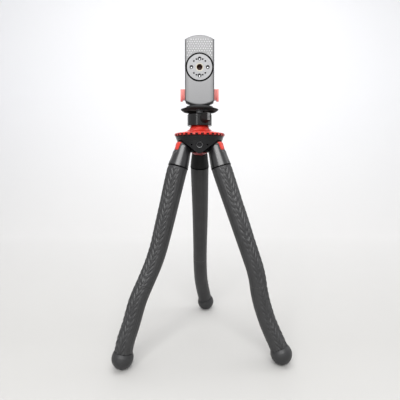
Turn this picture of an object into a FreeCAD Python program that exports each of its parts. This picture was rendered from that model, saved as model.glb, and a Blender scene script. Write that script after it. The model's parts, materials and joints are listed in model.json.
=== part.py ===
import FreeCAD, Part
import math
import os
import re
import Sketcher
from FreeCAD import Placement, Rotation, Vector

# Tabletop tripod with bendable legs, a ball head and a phone clamp. Millimetres, +Z up.
# The origin lies on the floor, on the vertical axis of the head and hub.
# The face of the clamp with the threaded disc looks towards -Y.

document = FreeCAD.newDocument("tripod")
sheet = document.addObject("Spreadsheet::Sheet", "sizes")
sheet_rows = []
nodes = []


# The size sheet and how the pieces read it

def size(name, value):
    """One driving size: its name in column A, its value with that alias in column B."""
    sheet_rows.append(name)
    line = len(sheet_rows)
    sheet.set("A%d" % line, name)
    sheet.set("B%d" % line, str(value))
    sheet.setAlias("B%d" % line, name)


def bound(expression):
    """Write an expression in size names as one that other objects can read."""
    return re.sub(r"\b([a-z][a-z_]*_[a-z_]*)\b(?!\()", r"sizes.\1", expression)


def number(expression):
    """The present value of an expression in size names."""
    return float(sheet.evalExpression(bound(expression)))


def bind(piece, **expressions):
    for attribute, expression in expressions.items():
        piece.setExpression(attribute, bound(expression))


def place(piece, corner, turn):
    """Turn a piece about its own origin and bind where that origin lies."""
    piece.Placement = Placement(Vector(0, 0, 0), turn)
    for axis, expression in zip("xyz", corner):
        if expression != "0":
            piece.setExpression("Placement.Base." + axis, bound(expression))


def node(piece, label):
    """Give a finished sub-part the name of its file."""
    piece.Label = label
    nodes.append(piece)
    return piece


PANEL_TURNS = (0, 120, 240)
UPRIGHT = Rotation()
ALONG_Y = Rotation(Vector(1, 0, 0), -90)
ALONG_X = Rotation(Vector(0, 1, 0), 90)
ORIGIN = ("0", "0", "0")


# Plain solids bound to the sheet

def box(name, x, y, z):
    """A box between two expressions along each axis."""
    piece = document.addObject("Part::Box", name)
    bind(piece, Length="%s - (%s)" % (x[1], x[0]), Width="%s - (%s)" % (y[1], y[0]),
         Height="%s - (%s)" % (z[1], z[0]))
    place(piece, (x[0], y[0], z[0]), UPRIGHT)
    return piece


def wide_box(name, width, y, z):
    """A box as wide as stated and centred on X."""
    return box(name, ("-(%s) / 2" % width, "(%s) / 2" % width), y, z)


def cylinder(name, radius, height, corner=ORIGIN, turn=UPRIGHT):
    piece = document.addObject("Part::Cylinder", name)
    bind(piece, Radius=radius, Height=height)
    place(piece, corner, turn)
    return piece


def cone(name, low_radius, high_radius, height, corner=ORIGIN, turn=UPRIGHT):
    piece = document.addObject("Part::Cone", name)
    bind(piece, Radius1=low_radius, Radius2=high_radius, Height=height)
    place(piece, corner, turn)
    return piece


def ball_solid(name, radius, corner=ORIGIN):
    piece = document.addObject("Part::Sphere", name)
    bind(piece, Radius=radius)
    place(piece, corner, UPRIGHT)
    return piece


def joined(name, pieces):
    piece = document.addObject("Part::MultiFuse", name)
    piece.Shapes = pieces
    return piece


def shared(name, pieces):
    piece = document.addObject("Part::MultiCommon", name)
    piece.Shapes = pieces
    return piece


def without(name, base, tools):
    piece = document.addObject("Part::Cut", name)
    piece.Base = base
    piece.Tool = tools[0] if len(tools) == 1 else joined(name + "_tools", tools)
    return piece


def grouped(name, pieces):
    """Separate alike solids that share one node."""
    piece = document.addObject("Part::Compound", name)
    piece.Links = pieces
    return piece


def eased(name, base, radius, chosen):
    """Round the edges of a solid that the test function picks."""
    document.recompute()
    piece = document.addObject("Part::Fillet", name)
    piece.Base = base
    picked = [index + 1 for index, edge in enumerate(base.Shape.Edges) if chosen(edge)]
    piece.Edges = [(index, number(radius), number(radius)) for index in picked]
    return piece


# Sketched solids bound to the sheet

def outline(body, name, role, corners):
    """A closed outline on one of the body's own origin planes, each corner bound."""
    sketch = body.newObject("Sketcher::SketchObject", name)
    plane = [item for item in body.Origin.OriginFeatures if item.Role == role][0]
    sketch.AttachmentSupport = [(plane, "")]
    sketch.MapMode = "FlatFace"
    points = [Vector(number(across), number(up), 0) for across, up in corners]
    count = len(points)
    for index in range(count):
        sketch.addGeometry(Part.LineSegment(points[index], points[(index + 1) % count]), False)
    for index in range(count):
        sketch.addConstraint(Sketcher.Constraint("Coincident", index, 2, (index + 1) % count, 1))
    for index, (across, up) in enumerate(corners):
        lock(sketch, index, "DistanceX", across, -2)
        lock(sketch, index, "DistanceY", up, -1)
    return sketch


def lock(sketch, index, kind, expression, axis):
    """Bind one coordinate of an outline's corner, or lay the corner on the axis."""
    if expression == "0":
        sketch.addConstraint(Sketcher.Constraint("PointOnObject", index, 1, axis))
        return
    constraint = sketch.addConstraint(Sketcher.Constraint(kind, index, 1, number(expression)))
    sketch.setExpression("Constraints[%d]" % constraint, bound(expression))


def spread(name, make, turns):
    """Copies of one piece turned about the tripod's own axis."""
    holders = []
    for index, turn in enumerate(turns):
        holder = document.addObject("Part::Compound", "%s_turned_%d" % (name, index))
        holder.Links = [make("%s_%d" % (name, index))]
        holder.Placement = Placement(Vector(0, 0, 0), Rotation(Vector(0, 0, 1), turn))
        holders.append(holder)
    return holders


def turned(name, corners, corner=ORIGIN, turn=UPRIGHT):
    """A body turned about its own Z from an outline of (radius, height) corners."""
    body = document.addObject("PartDesign::Body", name)
    sketch = outline(body, name + "_outline", "XZ_Plane", corners)
    revolution = body.newObject("PartDesign::Revolution", name + "_turned")
    revolution.Profile = sketch
    revolution.ReferenceAxis = (sketch, ["V_Axis"])
    revolution.Angle = 360
    place(body, corner, turn)
    return body


# How far a cutting shape runs past the face that it cuts

size("cut_past", 1.0)


# Sizes of the clamp

size("clamp_width", 31.0)
size("clamp_front_y", -9.0)
size("clamp_low_z", 269.7)
size("clamp_top_z", 342.4)
size("cover_thickness", 3.0)
size("cover_arch_rise", 4.5)
size("cover_foot_margin", 0.5)
size("cover_edge_round", 1.7)
size("frame_inset", 0.4)
size("frame_back_y", 3.0)
size("frame_top_z", 331.0)
size("frame_cavity_width", 25.0)
size("frame_cavity_back_y", 1.2)
size("frame_cavity_low_z", 279.0)
size("frame_head_thickness", 2.5)
size("foot_block_width", 18.0)
size("foot_block_back_y", 6.0)
size("foot_block_tall", 4.7)
size("disc_centre_z", 309.5)
size("disc_radius", 13.2)
size("disc_ring_width", 1.0)
size("disc_proud", 0.15)
size("disc_hole_circle", 8.6)
size("disc_screw_hole", 2.0)
size("disc_screw_depth", 1.7)
size("disc_pin_hole", 0.95)
size("disc_pin_depth", 1.0)
size("retainer_radius", 14.0)
size("retainer_thickness", 1.0)
size("insert_radius", 4.2)
size("thread_radius", 3.2)
size("disc_thread_depth", 4.4)
size("insert_floor", 0.5)
size("small_screw_radius", 0.8)
size("small_head_radius", 1.3)
size("clamp_screw_inset", 1.35)
size("cover_screw_drop", 6.0)
size("cover_screw_rise", 2.0)
size("cover_screw_skin", 1.0)
size("small_head_tall", 1.0)
size("rod_radius", 1.5)
size("rod_offset_x", 8.0)
size("rod_y", -1.5)
size("rod_low_z", 281.0)
size("rod_head_radius", 2.2)
size("rod_head_tall", 1.5)
size("rod_in_jaw", 3.7)
size("spring_wall", 0.6)
size("wing_span", 41.6)
size("wing_low_z", 277.2)
size("wing_tall", 11.2)
size("wing_front_y", -1.0)
size("wing_hook_width", 2.6)
size("wing_hook_tall", 1.5)
size("wing_groove_radius", 0.43)
size("jaw_width", 26.0)
size("jaw_reach_y", 20.0)
size("jaw_shelf_low_z", 279.0)
size("jaw_shelf_thickness", 4.0)
size("jaw_lip_thickness", 3.0)
size("jaw_lip_tall", 5.0)
size("jaw_pad_width", 24.0)
size("jaw_pad_thickness", 1.2)
size("upper_jaw_width", 28.0)
size("upper_jaw_thickness", 5.5)
size("upper_lip_tall", 4.3)
size("slide_gap", 0.3)
size("running_gap", 0.05)
size("rest_pad_thickness", 1.2)
size("rest_pad_low_z", 289.0)
size("rest_pad_high_z", 327.0)
document.recompute()

cover_back_y = "(clamp_front_y + cover_thickness)"
arch_radius = "((clamp_width^2 / 4 + cover_arch_rise^2) / (2 * cover_arch_rise))"
retainer_back_y = "(%s + slide_gap / 3 + retainer_thickness)" % cover_back_y
shelf_top_z = "(jaw_shelf_low_z + jaw_shelf_thickness)"
upper_jaw_low_z = "(frame_top_z + slide_gap)"


def arched(name, blank, low_z):
    """Give a plate the clamp's arched head and foot."""
    top_centre = "clamp_top_z - " + arch_radius
    foot_centre = low_z + " + " + arch_radius
    span = "2 * clamp_width"
    top = cylinder(name + "_top_arch", arch_radius, span, ("0", "-(clamp_width)", top_centre), ALONG_Y)
    foot = cylinder(name + "_foot_arch", arch_radius, span, ("0", "-(clamp_width)", foot_centre), ALONG_Y)
    middle = wide_box(name + "_middle", "2 * " + arch_radius, ("-(clamp_width)", "clamp_width"),
                      (foot_centre, top_centre))
    return shared(name, [blank, joined(name + "_outline", [top, foot, middle])])


def disc_tool(name, radius, low_y, high_y, across="0", up="0"):
    """A cylinder along Y placed from the disc's centre."""
    corner = (across, low_y, "disc_centre_z + (%s)" % up)
    return cylinder(name, radius, "%s - (%s)" % (high_y, low_y), corner, ALONG_Y)


def round_the_disc(name, radius, low_y, high_y, angles):
    """Cylinders along Y on the disc's hole circle."""
    return [disc_tool("%s_%d" % (name, index), radius, low_y, high_y,
                      "disc_hole_circle * cos(%s)" % angle, "disc_hole_circle * sin(%s)" % angle)
            for index, angle in enumerate(angles)]


def make_clamp_cover():
    plate = wide_box("cover_blank", "clamp_width", ("clamp_front_y", cover_back_y),
                     ("clamp_low_z", "clamp_top_z"))
    plate = arched("cover_arched", plate, "clamp_low_z + cover_foot_margin")
    front = number("clamp_front_y")
    plate = eased("cover_eased", plate, "cover_edge_round",
                  lambda edge: max(abs(v.Point.y - front) for v in edge.Vertexes) < 0.01)
    opening = disc_tool("cover_opening", "disc_radius + running_gap + disc_ring_width",
                        "clamp_front_y - cut_past", cover_back_y + " + cut_past")
    node(without("cover", plate, [opening] + clamp_shanks("cover_screw_bores")), "clamp_cover")


def at_clamp_screws(name, radius, height, y):
    """A cylinder along Y at each of the four screws between the frame and the cover."""
    pieces = []
    for side in ("-1", "1"):
        for level in ("rest_pad_low_z - cover_screw_drop", "rest_pad_high_z - cover_screw_rise"):
            across = "%s * (clamp_width / 2 - frame_inset - clamp_screw_inset)" % side
            corner = (across, y, level)
            pieces.append(cylinder("%s_%d" % (name, len(pieces)), radius, height, corner, ALONG_Y))
    return pieces


def clamp_shanks(name):
    return at_clamp_screws(name, "small_screw_radius", "frame_back_y - clamp_front_y - cover_screw_skin",
                           "clamp_front_y + cover_screw_skin")


def clamp_heads(name):
    return at_clamp_screws(name, "small_head_radius", "small_head_tall", "frame_back_y - small_head_tall")


def make_clamp_screws():
    pairs = zip(clamp_shanks("clamp_shank"), clamp_heads("clamp_head"))
    screws = [joined("clamp_screw_%d" % index, list(pair)) for index, pair in enumerate(pairs)]
    node(grouped("clamp_screws_set", screws), "clamp_screws")


def make_clamp_frame():
    tray = wide_box("frame_blank", "clamp_width - 2 * frame_inset", (cover_back_y, "frame_back_y"),
                    ("clamp_low_z", "frame_top_z"))
    tray = arched("frame_arched", tray, "clamp_low_z")
    foot = wide_box("frame_foot", "foot_block_width", (cover_back_y, "foot_block_back_y"),
                    ("clamp_low_z", "clamp_low_z + foot_block_tall"))
    solid = joined("frame_solid", [tray, foot])
    cavity = wide_box("frame_cavity", "frame_cavity_width",
                      (cover_back_y + " - cut_past", "frame_cavity_back_y"),
                      ("frame_cavity_low_z", "frame_top_z - frame_head_thickness"))
    disc_room = disc_tool("frame_disc_room", "retainer_radius + slide_gap", cover_back_y + " - cut_past",
                          retainer_back_y + " + slide_gap")
    insert = cylinder("frame_insert_bore", "insert_radius", "foot_block_tall", ("0", "0", "clamp_low_z"))
    tools = [cavity, disc_room, insert]
    tools += clamp_shanks("frame_screw_bores") + clamp_heads("frame_head_bores")
    low = "frame_top_z - frame_head_thickness - cut_past"
    through = "frame_head_thickness + 2 * cut_past"
    for side in ("-1", "1"):
        tools.append(cylinder("frame_rod_bore", "rod_radius + running_gap", through,
                              (side + " * rod_offset_x", "rod_y", low)))
    node(without("frame", solid, tools), "clamp_frame")


SCREW_ANGLES = ("0", "90", "180", "270")
PIN_ANGLES = ("45", "135", "225", "315", "67.5", "112.5", "247.5", "292.5")


def make_disc():
    low_y = "(clamp_front_y - disc_proud)"
    back_y = "(%s + slide_gap / 3)" % cover_back_y
    floor_y = "(%s + disc_screw_depth)" % low_y
    insert_back_y = "(clamp_front_y + disc_thread_depth + insert_floor)"
    beyond = retainer_back_y + " + cut_past"
    before = low_y + " - cut_past"
    edge = "disc_radius + running_gap"
    ring = disc_tool("ring_outside", edge + " + disc_ring_width", low_y, cover_back_y)
    node(without("ring", ring, [disc_tool("ring_bore", edge, before, beyond)]), "disc_ring")
    pockets = round_the_disc("disc_screw_pocket", "disc_screw_hole", before, floor_y, SCREW_ANGLES)
    pins = round_the_disc("disc_pin_pocket", "disc_pin_hole", before, low_y + " + disc_pin_depth",
                          PIN_ANGLES)
    shanks = round_the_disc("disc_shank_bore", "small_screw_radius", before, beyond, SCREW_ANGLES)
    seat = disc_tool("disc_insert_bore", "insert_radius", before, insert_back_y)
    disc = disc_tool("disc_blank", "disc_radius", low_y, back_y)
    node(without("disc", disc, pockets + pins + shanks + [seat]), "thread_disc")
    insert = disc_tool("insert_blank", "insert_radius", "clamp_front_y", insert_back_y)
    bore = disc_tool("insert_thread", "thread_radius", before, "clamp_front_y + disc_thread_depth")
    node(without("insert", insert, [bore]), "thread_insert")
    plate = disc_tool("retainer_blank", "retainer_radius", back_y, retainer_back_y)
    bores = round_the_disc("retainer_bore", "small_screw_radius", before, beyond, SCREW_ANGLES)
    centre = disc_tool("retainer_centre", "insert_radius", before, beyond)
    node(without("retainer", plate, bores + [centre]), "disc_retainer")
    head_y = floor_y + " - small_head_tall"
    heads = round_the_disc("disc_head", "disc_screw_hole - 2 * running_gap", head_y, floor_y, SCREW_ANGLES)
    stems = round_the_disc("disc_shank", "small_screw_radius", head_y, retainer_back_y, SCREW_ANGLES)
    screws = [joined("disc_screw_%d" % index, list(pair)) for index, pair in enumerate(zip(heads, stems))]
    node(grouped("disc_screw_set", screws), "disc_screws")


def make_lower_jaw():
    wing_top = "wing_low_z + wing_tall"
    back_y = "(frame_back_y + rest_pad_thickness)"
    inside = "clamp_width / 2 + slide_gap"
    bar = wide_box("wing_bar", "wing_span", ("frame_back_y", back_y), ("wing_low_z", wing_top))
    shelf = wide_box("lower_shelf", "jaw_width", ("frame_back_y", "jaw_reach_y"),
                     ("jaw_shelf_low_z", shelf_top_z))
    lip = wide_box("lower_lip", "jaw_width", ("jaw_reach_y - jaw_lip_thickness", "jaw_reach_y"),
                   ("jaw_shelf_low_z", shelf_top_z + " + jaw_lip_tall"))
    parts = [bar, shelf, lip]
    grooves = []
    sides = (("-1", ("-(wing_span) / 2", "-(%s)" % inside),
              ("-(wing_span) / 2", "wing_hook_width - wing_span / 2")),
             ("1", (inside, "wing_span / 2"),
              ("wing_span / 2 - wing_hook_width", "wing_span / 2")))
    for side, wing, hook in sides:
        parts.append(box("wing", wing, ("wing_front_y", back_y), ("wing_low_z", wing_top)))
        parts.append(box("wing_hook", hook, ("wing_front_y", "frame_back_y"),
                         ("wing_low_z - wing_hook_tall", "wing_low_z + wing_hook_tall")))
        grooves.append(cylinder("wing_groove", "wing_groove_radius", "wing_tall + 2 * cut_past",
                                (side + " * (wing_span / 2 - wing_hook_width)", "wing_front_y",
                                 "wing_low_z - cut_past")))
    node(without("jaw_low", joined("jaw_low_solid", parts), grooves), "lower_jaw")
    pad = wide_box("jaw_low_pad", "jaw_pad_width",
                   (back_y + " + slide_gap", "jaw_reach_y - jaw_lip_thickness"),
                   (shelf_top_z, shelf_top_z + " + jaw_pad_thickness"))
    node(pad, "lower_jaw_pad")


def make_upper_jaw():
    low = upper_jaw_low_z
    top = low + " + upper_jaw_thickness"
    head = wide_box("upper_head", "upper_jaw_width", (cover_back_y + " + slide_gap", "jaw_reach_y"),
                    (low, top))
    lip = wide_box("upper_lip", "jaw_width", ("jaw_reach_y - jaw_lip_thickness", "jaw_reach_y"),
                   (low + " - upper_lip_tall", top))
    bores = [cylinder("upper_bore", "rod_radius", "rod_in_jaw", (side + " * rod_offset_x", "rod_y", low))
             for side in ("-1", "1")]
    node(without("jaw_high", joined("jaw_high_solid", [head, lip]), bores), "upper_jaw")
    pad = wide_box("jaw_high_pad", "jaw_pad_width",
                   ("frame_back_y + rest_pad_thickness", "jaw_reach_y - jaw_lip_thickness"),
                   (low + " - jaw_pad_thickness", low))
    node(pad, "upper_jaw_pad")
    rods = []
    springs = []
    spring_radius = "rod_radius + 2 * running_gap"
    for side in ("-1", "1"):
        spot = side + " * rod_offset_x"
        shaft = cylinder("rod_shaft", "rod_radius", low + " + rod_in_jaw - rod_low_z",
                         (spot, "rod_y", "rod_low_z"))
        foot = cylinder("rod_foot", "rod_head_radius", "rod_head_tall", (spot, "rod_y", "rod_low_z"))
        rods.append(joined("rod", [shaft, foot]))
        low_end = "rod_low_z + rod_head_tall"
        tall = "frame_top_z - frame_head_thickness - (%s)" % low_end
        coil = cylinder("spring_outside", spring_radius + " + spring_wall", tall, (spot, "rod_y", low_end))
        hole = cylinder("spring_inside", spring_radius, tall, (spot, "rod_y", low_end))
        springs.append(without("spring", coil, [hole]))
    node(grouped("rod_set", rods), "jaw_rods")
    node(grouped("spring_set", springs), "jaw_springs")


def make_clamp_pads():
    pad = wide_box("rest_pad_solid", "jaw_pad_width", ("frame_back_y", "frame_back_y + rest_pad_thickness"),
                   ("rest_pad_low_z", "rest_pad_high_z"))
    node(pad, "rest_pad")
    bush = cylinder("foot_insert_blank", "insert_radius", "foot_block_tall", ("0", "0", "clamp_low_z"))
    bore = cylinder("foot_insert_thread", "thread_radius", "foot_block_tall", ("0", "0", "clamp_low_z"))
    node(without("foot_bush", bush, [bore]), "foot_insert")


make_clamp_cover()
make_clamp_frame()
make_clamp_screws()
make_disc()
make_lower_jaw()
make_upper_jaw()
make_clamp_pads()


# Sizes of the ball head

size("ball_centre_z", 256.0)
size("ball_radius", 8.0)
size("ball_gap", 0.06)
size("seat_thickness", 0.9)
size("seat_high_angle", 33.0)
size("seat_low_angle", 72.0)
size("mouth_angle", 18.0)
size("mouth_radius", 10.6)
size("housing_radius", 13.25)
size("housing_low_z", 249.3)
size("housing_top_z", 262.0)
size("housing_bevel", 1.0)
size("spigot_radius", 8.3)
size("spigot_low_z", 243.8)
size("neck_radius", 3.6)
size("platform_radius", 20.4)
size("platform_edge_z", 266.8)
size("platform_rim_radius", 17.0)
size("platform_rim_z", 264.4)
size("platform_rim_width", 1.0)
size("platform_edge_tall", 0.5)
size("platform_ceiling_z", 267.2)
size("platform_top_z", 268.6)
size("platform_top_radius", 15.0)
size("platform_pad_radius", 14.4)
size("screw_radius", 3.15)
size("screw_root_radius", 2.75)
size("screw_flange_thickness", 0.6)
size("screw_in_clamp", 4.2)
size("screw_in_stem", 3.0)
size("lock_direction", -64.0)
size("lock_axis_z", 257.15)
size("lock_screw_radius", 2.0)
size("shoe_radius", 1.8)
size("shoe_long", 2.3)
size("knob_base_radius", 5.7)
size("knob_tip_radius", 4.3)
size("knob_start", 13.45)
size("knob_shoulder", 1.6)
size("knob_end", 21.8)
size("knob_blade", 5.4)
size("lock_screw_end", 18.1)

# Sizes of the lock wheel and the hub

size("wheel_top_z", 249.1)
size("wheel_neck_radius", 9.6)
size("wheel_waist_z", 245.4)
size("wheel_waist_radius", 11.3)
size("wheel_step_radius", 12.9)
size("wheel_step_z", 244.8)
size("wheel_flare_radius", 13.7)
size("wheel_flare_z", 243.6)
size("wheel_slope_radius", 16.4)
size("wheel_slope_z", 242.8)
size("wheel_foot_radius", 21.2)
size("wheel_foot_z", 241.8)
size("wheel_bevel", 0.45)
size("wheel_radius", 27.4)
size("wheel_rim_high_z", 240.8)
size("wheel_low_z", 238.1)
size("wheel_teeth", 30)
size("wheel_tooth_gap", 1.45)
size("wheel_tooth_tall", 1.8)
size("hub_top_z", 237.8)
size("hub_top_radius", 26.5)
size("hub_band_z", 232.3)
size("hub_band_radius", 24.6)
size("hub_disc_radius", 21.3)
size("hub_disc_z", 229.8)
size("hub_core_radius", 9.8)
size("hub_low_z", 220.4)
size("hub_post_radius", 6.0)
size("bolt_radius", 2.5)
size("bolt_head_radius", 4.4)
size("bolt_head_z", 221.4)
size("bolt_head_tall", 4.0)
size("bolt_in_spigot", 2.8)
size("panel_half_width", 17.8)
size("panel_tip_z", 219.0)
size("panel_tip_width", 3.0)
size("panel_face_slope", 0.6)
size("socket_insert_z", 228.0)
size("socket_insert_long", 8.0)
size("insert_end", 1.0)
size("socket_boss_half", 5.4)
size("socket_boss_gap", 0.8)
size("pin_hole_offset", 8.2)
size("pin_hole_radius", 0.9)
size("cap_radius", 8.5)
size("cap_tall", 3.1)
size("cap_band", 0.8)
size("cap_spigot_radius", 4.3)
document.recompute()

# Sizes of the legs

size("pivot_radius", 20.2)
size("pivot_z", 224.5)
size("leg_head_radius", 8.6)
size("leg_head_gap", 0.3)
size("tongue_half", 2.8)
size("tongue_radius", 3.4)
size("leg_pin_radius", 1.5)
size("leg_lean", 18.0)
size("socket_long", 20.1)
size("socket_rim_radius", 10.85)
size("socket_groove_tall", 0.5)
size("socket_groove_deep", 0.55)
size("socket_lip_tall", 1.0)
size("socket_lip_radius", 10.5)
size("core_radius", 3.0)
size("core_in_socket", 11.0)
size("core_in_foot", 2.5)
size("button_width", 9.0)
size("button_low", 4.2)
size("button_high", 4.6)
size("button_inner", 5.9)
size("button_proud", 0.35)
size("button_crown", 0.45)
size("button_gap", 0.12)
size("button_spring_radius", 1.6)
size("button_pocket_x", 4.4)
size("pin_end", 7.4)
size("pin_end_gap", 0.2)
size("sleeve_top_radius", 10.6)
size("sleeve_knee_radius", 9.15)
size("sleeve_low_radius", 9.0)
size("knee_along", 132.0)
size("ankle_along", 172.0)
size("bend_zone", 15.0)
size("arc_share", 0.45)
size("socket_run", 26.0)
size("foot_radius", 11.1)
size("foot_waist_radius", 10.8)
size("foot_waist_tall", 3.0)
size("foot_top_radius", 9.6)
size("foot_top_tall", 6.2)
size("foot_seat", 3.5)
document.recompute()

# Each leg was bent by hand, so its line is a short list of corners:
# distance from the head's axis, height, and drift to the left seen from outside.
# The last corner's height is the foot's radius, so that the foot rests on the floor.
LEGS = {
    "left": (210, ((44.5, 138.5, 0.0), (54.0, 107.5, 0.8), (76.0, 67.0, 3.4), (83.0, 46.0, 4.6),
                   (90.5, 27.5, 5.5), (94.1, "foot_radius", 5.8))),
    "right": (330, ((50.5, 142.0, 0.0), (68.5, 92.5, 1.6), (71.8, 68.0, 2.6), (80.0, 42.5, 3.9),
                    (95.7, "foot_radius", 4.9))),
    "rear": (90, ((50.5, 139.0, -0.8), (72.5, 75.0, -0.4), (84.0, 43.5, -2.0),
                  (95.1, "foot_radius", -8.6))),
}
LEG_AZIMUTHS = [azimuth for azimuth, corners in LEGS.values()]


LOCK_TURN = Rotation(Vector(0, 0, 1), number("lock_direction")).multiply(ALONG_X)


def along_lock(name, radius, start, end):
    """A cylinder on the lock knob's axis, from one distance off the head's axis to another."""
    corner = ("(%s) * cos(lock_direction)" % start, "(%s) * sin(lock_direction)" % start, "lock_axis_z")
    return cylinder(name, radius, "(%s) - (%s)" % (end, start), corner, LOCK_TURN)


def make_housing():
    core = turned("housing_shell", [
        ("0", "spigot_low_z"), ("spigot_radius", "spigot_low_z"), ("spigot_radius", "housing_low_z"),
        ("housing_radius", "housing_low_z"), ("housing_radius", "housing_top_z - housing_bevel"),
        ("housing_radius - housing_bevel", "housing_top_z"), ("0", "housing_top_z")])
    held = "(ball_radius + ball_gap)"
    seat = "(ball_radius + ball_gap + seat_thickness + ball_gap)"
    ball_room = ball_solid("housing_ball_room", held, ("0", "0", "ball_centre_z"))
    seat_ball = ball_solid("housing_seat_ball", seat, ("0", "0", "ball_centre_z"))
    below = cylinder("housing_seat_limit", seat, seat, ("0", "0", "ball_centre_z - " + seat))
    mouth_low = "ball_centre_z + %s * sin(mouth_angle)" % held
    mouth = cone("housing_mouth", held + " * cos(mouth_angle)", "mouth_radius",
                 "housing_top_z - (%s)" % mouth_low, ("0", "0", mouth_low))
    bolt = cylinder("housing_bolt_bore", "bolt_radius", "bolt_in_spigot", ("0", "0", "spigot_low_z"))
    lock = along_lock("housing_lock_bore", "lock_screw_radius + running_gap", "ball_radius / 2",
                      "housing_radius + cut_past")
    tools = [ball_room, shared("housing_seat_room", [seat_ball, below]), mouth, bolt, lock]
    node(without("housing", core, tools), "head_housing")


def make_ball():
    centre = ("0", "0", "ball_centre_z")
    ball = ball_solid("ball_sphere", "ball_radius", centre)
    stem = cylinder("ball_stem", "neck_radius", "platform_ceiling_z - ball_centre_z", centre)
    screw = cylinder("ball_screw_bore", "screw_root_radius", "screw_in_stem",
                     ("0", "0", "platform_ceiling_z - screw_in_stem"))
    node(without("ball_and_stem", joined("ball_solid", [ball, stem]), [screw]), "ball")
    inner = "(ball_radius + ball_gap)"
    outside = ball_solid("seat_outside", inner + " + seat_thickness", ("0", "0", "ball_centre_z"))
    inside = ball_solid("seat_inside", inner, ("0", "0", "ball_centre_z"))
    high = "ball_centre_z - ball_radius * sin(seat_high_angle)"
    low = "ball_centre_z - ball_radius * sin(seat_low_angle)"
    band = cylinder("seat_band", "2 * ball_radius", "(%s) - (%s)" % (high, low), ("0", "0", low))
    node(without("seat", shared("seat_shell", [outside, band]), [inside]), "ball_seat")


def make_platform():
    flange_top_z = "platform_ceiling_z + screw_flange_thickness"
    plate = turned("platform", [
        ("neck_radius", "platform_ceiling_z"),
        ("platform_rim_radius - platform_rim_width", "platform_ceiling_z"),
        ("platform_rim_radius", "platform_rim_z"),
        ("platform_rim_radius + platform_rim_width", "platform_rim_z"),
        ("platform_radius", "platform_edge_z - platform_edge_tall"), ("platform_radius", "platform_edge_z"),
        ("platform_top_radius", "platform_top_z"), ("screw_radius", "platform_top_z"),
        ("screw_radius", flange_top_z), ("neck_radius", flange_top_z)])
    node(plate, "platform")
    tall = "clamp_low_z - platform_top_z"
    pad = cylinder("pad_blank", "platform_pad_radius", tall, ("0", "0", "platform_top_z"))
    bore = cylinder("pad_bore", "screw_radius + running_gap", tall, ("0", "0", "platform_top_z"))
    node(without("pad", pad, [bore]), "platform_pad")
    ceiling = ("0", "0", "platform_ceiling_z")
    flange = cylinder("screw_flange", "neck_radius", "screw_flange_thickness", ceiling)
    thread = cylinder("screw_thread", "screw_radius", "clamp_low_z + screw_in_clamp - platform_ceiling_z",
                      ceiling)
    root = cylinder("screw_root", "screw_root_radius", "screw_in_stem",
                    ("0", "0", "platform_ceiling_z - screw_in_stem"))
    node(joined("screw", [flange, thread, root]), "camera_screw")


def make_lock():
    near = "(ball_radius + ball_gap)"
    node(along_lock("shoe", "shoe_radius", near, near + " + shoe_long"), "clamp_shoe")
    node(along_lock("lock_rod", "lock_screw_radius", near + " + shoe_long", "lock_screw_end"), "lock_screw")
    base = along_lock("knob_base", "knob_base_radius", "knob_start", "knob_start + knob_shoulder")
    shoulder = "(knob_start + knob_shoulder)"
    corner = (shoulder + " * cos(lock_direction)", shoulder + " * sin(lock_direction)", "lock_axis_z")
    body = cone("knob_body", "knob_base_radius", "knob_tip_radius", "knob_end - " + shoulder, corner,
                LOCK_TURN)
    blade_tools = []
    lean = math.degrees(math.atan2(number("knob_base_radius - knob_blade / 2"),
                                   number("knob_end - knob_start - knob_shoulder")))
    facing = Rotation(Vector(0, 0, 1), number("lock_direction"))
    for side in (1, -1):
        tool = document.addObject("Part::Box", "knob_flat_tool")
        bind(tool, Length="knob_end", Width="knob_base_radius * 2", Height="knob_base_radius * 4")
        turn = facing.multiply(Rotation(Vector(0, 0, 1), -side * lean))
        wide = number("knob_base_radius")
        reach = facing.multVec(Vector(number(shoulder), side * wide, -2 * wide))
        shift = turn.multVec(Vector(0, min(0, side) * 2 * wide, 0))
        tool.Placement = Placement(reach + shift + Vector(0, 0, number("lock_axis_z")), turn)
        blade_tools.append(tool)
    bore = along_lock("knob_bore", "lock_screw_radius", "knob_start - cut_past", "lock_screw_end")
    knob = without("knob", joined("knob_solid", [base, body]), blade_tools + [bore])
    node(knob, "lock_knob")


def make_wheel():
    floor_z = "spigot_low_z - 2 * running_gap"
    wheel = turned("wheel_body", [
        ("spigot_radius + running_gap", "wheel_top_z"), ("wheel_neck_radius", "wheel_top_z"),
        ("wheel_waist_radius", "wheel_waist_z"), ("wheel_step_radius", "wheel_step_z"),
        ("wheel_flare_radius", "wheel_flare_z"), ("wheel_slope_radius", "wheel_slope_z"),
        ("wheel_foot_radius", "wheel_foot_z"), ("wheel_radius - wheel_bevel", "wheel_rim_high_z"),
        ("wheel_radius", "wheel_rim_high_z - wheel_bevel"), ("wheel_radius", "wheel_low_z + wheel_bevel"),
        ("wheel_radius - wheel_bevel", "wheel_low_z"), ("hub_post_radius + running_gap", "wheel_low_z"),
        ("hub_post_radius + running_gap", floor_z), ("spigot_radius + running_gap", floor_z)])
    count = int(number("wheel_teeth"))
    gaps = []
    for index in range(count):
        angle = "%d * 360 / wheel_teeth" % index
        corner = ("wheel_radius * cos(%s)" % angle, "wheel_radius * sin(%s)" % angle,
                  "wheel_low_z - cut_past")
        gaps.append(cylinder("wheel_gap_%d" % index, "wheel_tooth_gap",
                             "wheel_tooth_tall + cut_past", corner))
    node(without("wheel", wheel, gaps), "lock_wheel")


boss_front_y = "(socket_boss_gap - hub_disc_radius)"
insert_corner = ("0", boss_front_y, "socket_insert_z")


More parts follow.
